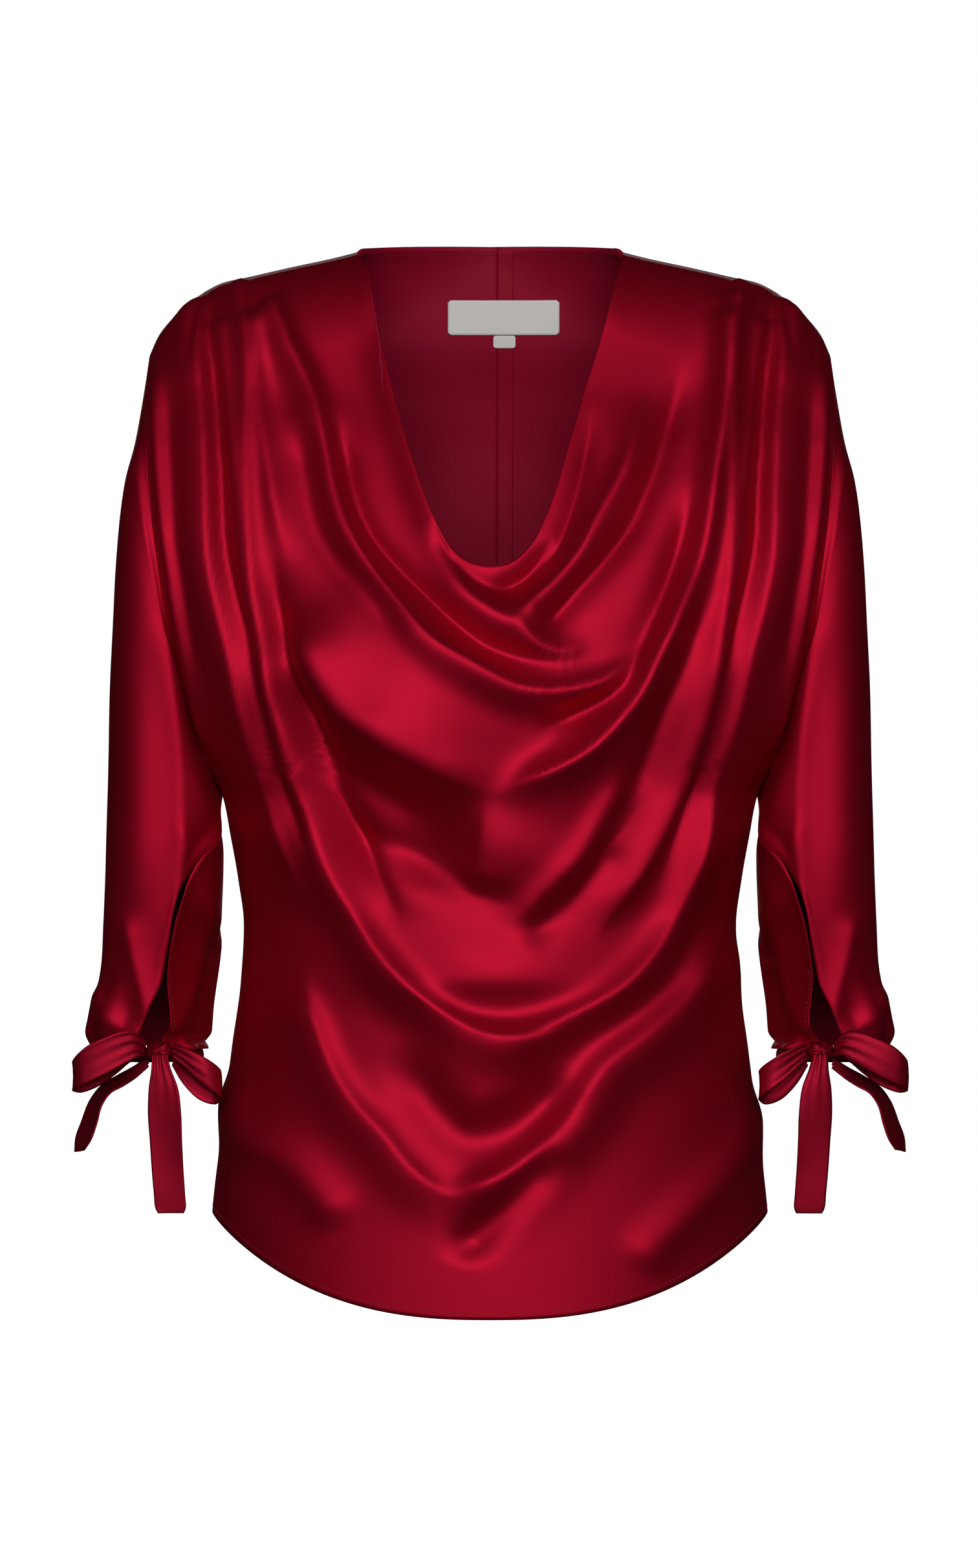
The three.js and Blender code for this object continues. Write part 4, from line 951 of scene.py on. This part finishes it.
class BLOUSE_OT_bows(bpy.types.Operator):
    """Ties the bow on each cuff"""

    bl_idname = "blouse.bows"
    bl_label = "Bows"

    def execute(self, context):
        for side, word in SIDES:
            for part, table in BOW.items():
                rows = ribbon_rows(side, table, "loop" in part)
                length = float(np.linalg.norm(np.diff(np.array(table)[:, :3], axis=0), axis=1).sum()) * MM
                width = 2 * float(np.linalg.norm(np.array(table)[:, 3:], axis=1).max()) * MM
                flat = (round(width, 3), round(length, 3))
                obj = sheet_from(f"blouse_{part}_{word}", rows, flat, flip=side > 0)
                shell = obj.modifiers.new("cloth", "SOLIDIFY")
                shell.thickness = context.scene.blouse_cloth.ribbon
                shell.offset = 0
                finish_piece(obj, f"{part}_{word}", [cloth("satin ties")])
            self.knot(side, word)
        return {"FINISHED"}

    def knot(self, side, word):
        bm = bmesh.new()
        bmesh.ops.create_icosphere(bm, subdivisions=5, radius=1)
        for vert in bm.verts:
            x, y, z = vert.co
            turn = KNOT_WRAP["waves"] * math.atan2(x, z)
            wrap = KNOT_WRAP["depth"] * math.sin(turn + KNOT_WRAP["lean"] * y)
            crease = KNOT_CREASE["depth"] * math.sin(KNOT_CREASE["out"] * x + KNOT_CREASE["up"] * z)
            waist = 1 - KNOT_WAIST["depth"] * math.exp(-((x - KNOT_WAIST["at"]) / KNOT_WAIST["width"]) ** 2)
            size = (1 + wrap + crease) * waist * MM
            vert.co = (
                side * (KNOT["out"] * MM + x * KNOT["half_out"] * size),
                KNOT["y"] * MM + y * KNOT["half_depth"] * size,
                KNOT["z"] * MM + z * KNOT["half_height"] * size,
            )
        if side < 0:
            bmesh.ops.reverse_faces(bm, faces=bm.faces)
        obj = mesh_of(f"blouse_bow_knot_{word}", bm)
        finish_piece(obj, f"bow_knot_{word}", [cloth("satin ties")])


LABEL_CELLS = (40, 14)
LABEL_THICKNESS = 0.0005
LABEL_INSIDE = 2.2


def inside_back(x, z, inside):
    """Points inside the back's cloth, a little in front of it."""
    points = cloth_points(1, body_angle(1, x, z), z)
    points[..., 1] -= inside
    return points


class BLOUSE_OT_labels(bpy.types.Operator):
    """Sews the label and the size tab inside the back of the neck"""

    bl_idname = "blouse.labels"
    bl_label = "Labels"

    def execute(self, context):
        for node, spot in (("size_tab", TAB_PLACE), ("label", LABEL_PLACE)):
            across, down = (np.linspace(-0.5, 0.5, cells + 1) for cells in LABEL_CELLS)
            out, down = np.meshgrid(spot["width"] * across, down)
            past = np.clip(abs(out) - spot["width"] / 2 + LABEL_CORNER, 0, LABEL_CORNER)
            corner = LABEL_CORNER - np.sqrt(LABEL_CORNER**2 - past**2)
            heights = spot["z"] - (spot["height"] - 2 * corner) * down
            rows = inside_back(spot["x"] + out, heights, LABEL_INSIDE)
            flat = (spot["width"] * MM, spot["height"] * MM)
            obj = sheet_from(f"blouse_{node}", rows, flat)
            thicken(obj, LABEL_THICKNESS)
            finish_piece(obj, node, [cloth("label")])
        return {"FINISHED"}


# The seam's turning inside the back, as its width, its top and its end, and how far it lies inside
ALLOWANCE = {"width": 10.2, "top": 7, "end": -640, "inside": 1.6, "columns": 8, "rows": 240}
ALLOWANCE_THICKNESS = 0.0003
HEM_STITCHES = {"above": 4.5, "margin": 0.02, "steps": 240}
NECK_STITCHES = {"half": 80, "below": 5, "inside": 1.2, "steps": 160}
SLIT_STITCHES = {"from": 0.8, "cells": 3}


class BLOUSE_OT_sewing(bpy.types.Operator):
    """Sews the hem, the slits of the sleeves, the back neck and the back seam's turning"""

    bl_idname = "blouse.sewing"
    bl_label = "Sewing"

    def execute(self, context):
        reach = math.pi / 2 - HEM_STITCHES["margin"]
        angles = np.linspace(-reach, reach, HEM_STITCHES["steps"])
        heights = hem_places(angles)[:, 1] + HEM_STITCHES["above"]
        for facing, word in ((-1, "front"), (1, "back")):
            points = cloth_points(facing, angles, heights)
            stitch_row(f"blouse_hem_stitches_{word}", points, body_normal(facing, angles, heights))
        for side, word in SIDES:
            rows = sleeve_rows(side)
            normals = grid_normals(rows, side < 0)
            inset = SLIT_STITCHES["cells"]
            shown = slice(int(SLIT_STITCHES["from"] * SLEEVE_ROWS), -inset)
            stitch_row(f"blouse_slit_stitches_{word}", rows[shown, -inset], normals[shown, -inset])
        x = np.linspace(-NECK_STITCHES["half"], NECK_STITCHES["half"], NECK_STITCHES["steps"])
        z = NECK_BACK_RISE * np.sqrt(1 - (x / NECK_HALF) ** 2) - NECK_STITCHES["below"]
        points = inside_back(x, z, NECK_STITCHES["inside"])
        stitch_row("blouse_neck_stitches", points, np.zeros(points.shape) - (0, 1, 0))
        self.allowance()
        return {"FINISHED"}

    def allowance(self):
        across = BACK_SEAM_X + np.linspace(0, ALLOWANCE["width"], ALLOWANCE["columns"] + 1)
        down = np.linspace(ALLOWANCE["top"], ALLOWANCE["end"], ALLOWANCE["rows"] + 1)
        rows = inside_back(*np.meshgrid(across, down), ALLOWANCE["inside"])
        length = np.linalg.norm(np.diff(rows, axis=0), axis=-1).sum(axis=0).max()
        width = np.linalg.norm(np.diff(rows, axis=1), axis=-1).sum(axis=1).max()
        flat = (math.ceil(width) * MM, math.ceil(length) * MM)
        obj = sheet_from("blouse_seam_allowance", rows, flat)
        thicken(obj, ALLOWANCE_THICKNESS)
        finish_piece(obj, None, [cloth("satin back")])


FLOOR_Z = -0.95
FLOOR_HALF = 3.0
VIEW_HEIGHT = 1.0096
CAMERA_Z = -0.3423
CAMERA_X = -0.0006
# Softboxes: place, size and share of the main one's power
SOFTBOXES = {
    "front softbox": ((0, -3.2, 0.55), (2.6, 1.2), 1),
    "left softbox": ((-2.4, -1.2, 0.3), (0.6, 1.6), 0.02),
    "right softbox": ((2.4, -1.2, 0.3), (0.6, 1.6), 0.02),
    "back softbox": ((0, 3.2, 0.55), (1.9, 1.2), 0.25),
}
LIGHT_AIM = (0, 0, -0.3)
FLOOR_GLOW = 0.96
STUDIO_FILL = 0.012


def softbox(name, spot, size, power):
    light = bpy.data.lights.new(name, "AREA")
    light.shape = "RECTANGLE"
    light.size, light.size_y = size
    light.energy = power
    obj = bpy.data.objects.new(name, light)
    obj.location = spot
    obj.rotation_euler = (Vector(LIGHT_AIM) - Vector(spot)).to_track_quat("-Z", "Y").to_euler()
    bpy.context.scene.collection.objects.link(obj)


class BLOUSE_OT_stage(bpy.types.Operator):
    """Sets the floor, the lights and the camera"""

    bl_idname = "blouse.stage"
    bl_label = "Stage"

    def execute(self, context):
        scene = context.scene
        stage = scene.blouse_stage
        bm = bmesh.new()
        bmesh.ops.create_grid(bm, x_segments=1, y_segments=1, size=FLOOR_HALF,
                              matrix=Matrix.Translation((0, 0, FLOOR_Z)))
        floor = mesh_of("floor", bm)
        material = bpy.data.materials.new("pale floor")
        material.use_nodes = True
        shader = material.node_tree.nodes["Principled BSDF"]
        shader.inputs["Base Color"].default_value = (*stage.floor, 1)
        shader.inputs["Roughness"].default_value = 0.9
        shader.inputs["Emission Color"].default_value = (1, 1, 1, 1)
        shader.inputs["Emission Strength"].default_value = FLOOR_GLOW
        floor.data.materials.append(material)
        floor.visible_glossy = False
        floor.visible_diffuse = False

        for name, (spot, size, share) in SOFTBOXES.items():
            softbox(name, spot, size, stage.power * share)

        world = bpy.data.worlds.new("studio")
        world.use_nodes = True
        tree = world.node_tree
        for node in list(tree.nodes):
            tree.nodes.remove(node)
        rays = tree.nodes.new("ShaderNodeLightPath")
        dim = linked(tree, "ShaderNodeBackground", Color=(1, 1, 1, 1), Strength=STUDIO_FILL)
        pale = linked(tree, "ShaderNodeBackground", Color=(1, 1, 1, 1), Strength=1.0)
        mix = linked(tree, "ShaderNodeMixShader", rays.outputs["Is Camera Ray"], dim.outputs[0],
                     pale.outputs[0])
        linked(tree, "ShaderNodeOutputWorld", Surface=mix.outputs[0])
        scene.world = world
        scene.view_settings.view_transform = "Standard"

        camera = bpy.data.cameras.new("camera")
        camera.sensor_fit = "VERTICAL"
        camera.angle = 2 * math.atan(VIEW_HEIGHT / 2 / stage.distance)
        obj = bpy.data.objects.new("camera", camera)
        obj.location = (CAMERA_X, -stage.distance, CAMERA_Z)
        obj.rotation_euler = (math.pi / 2, 0, 0)
        scene.collection.objects.link(obj)
        scene.camera = obj
        return {"FINISHED"}


class BLOUSE_PT_panel(bpy.types.Panel):
    """Lists the steps of making the blouse"""

    bl_idname = "BLOUSE_PT_panel"
    bl_label = "Satin Blouse"
    bl_space_type = "VIEW_3D"
    bl_region_type = "UI"
    bl_category = "Blouse"

    def draw(self, context):
        for group in (context.scene.blouse_cloth, context.scene.blouse_colours, context.scene.blouse_stage):
            for key in group.__annotations__:
                self.layout.prop(group, key)
        for step in STEPS:
            self.layout.operator(step.bl_idname)


STEPS = (BLOUSE_OT_stage, BLOUSE_OT_front, BLOUSE_OT_backs, BLOUSE_OT_sleeves, BLOUSE_OT_bands,
         BLOUSE_OT_bows, BLOUSE_OT_labels, BLOUSE_OT_sewing)
CLASSES = (ClothSizes, ClothColours, StageSettings, *STEPS, BLOUSE_PT_panel)


def register():
    for cls in CLASSES:
        bpy.utils.register_class(cls)
    bpy.types.Scene.blouse_cloth = PointerProperty(type=ClothSizes)
    bpy.types.Scene.blouse_colours = PointerProperty(type=ClothColours)
    bpy.types.Scene.blouse_stage = PointerProperty(type=StageSettings)


def unregister():
    del bpy.types.Scene.blouse_cloth
    del bpy.types.Scene.blouse_colours
    del bpy.types.Scene.blouse_stage
    for cls in reversed(CLASSES):
        bpy.utils.unregister_class(cls)


def main():
    register()
    for step in STEPS:
        family, _, name = step.bl_idname.partition(".")
        getattr(getattr(bpy.ops, family), name)()


if __name__ == "__main__":
    main()
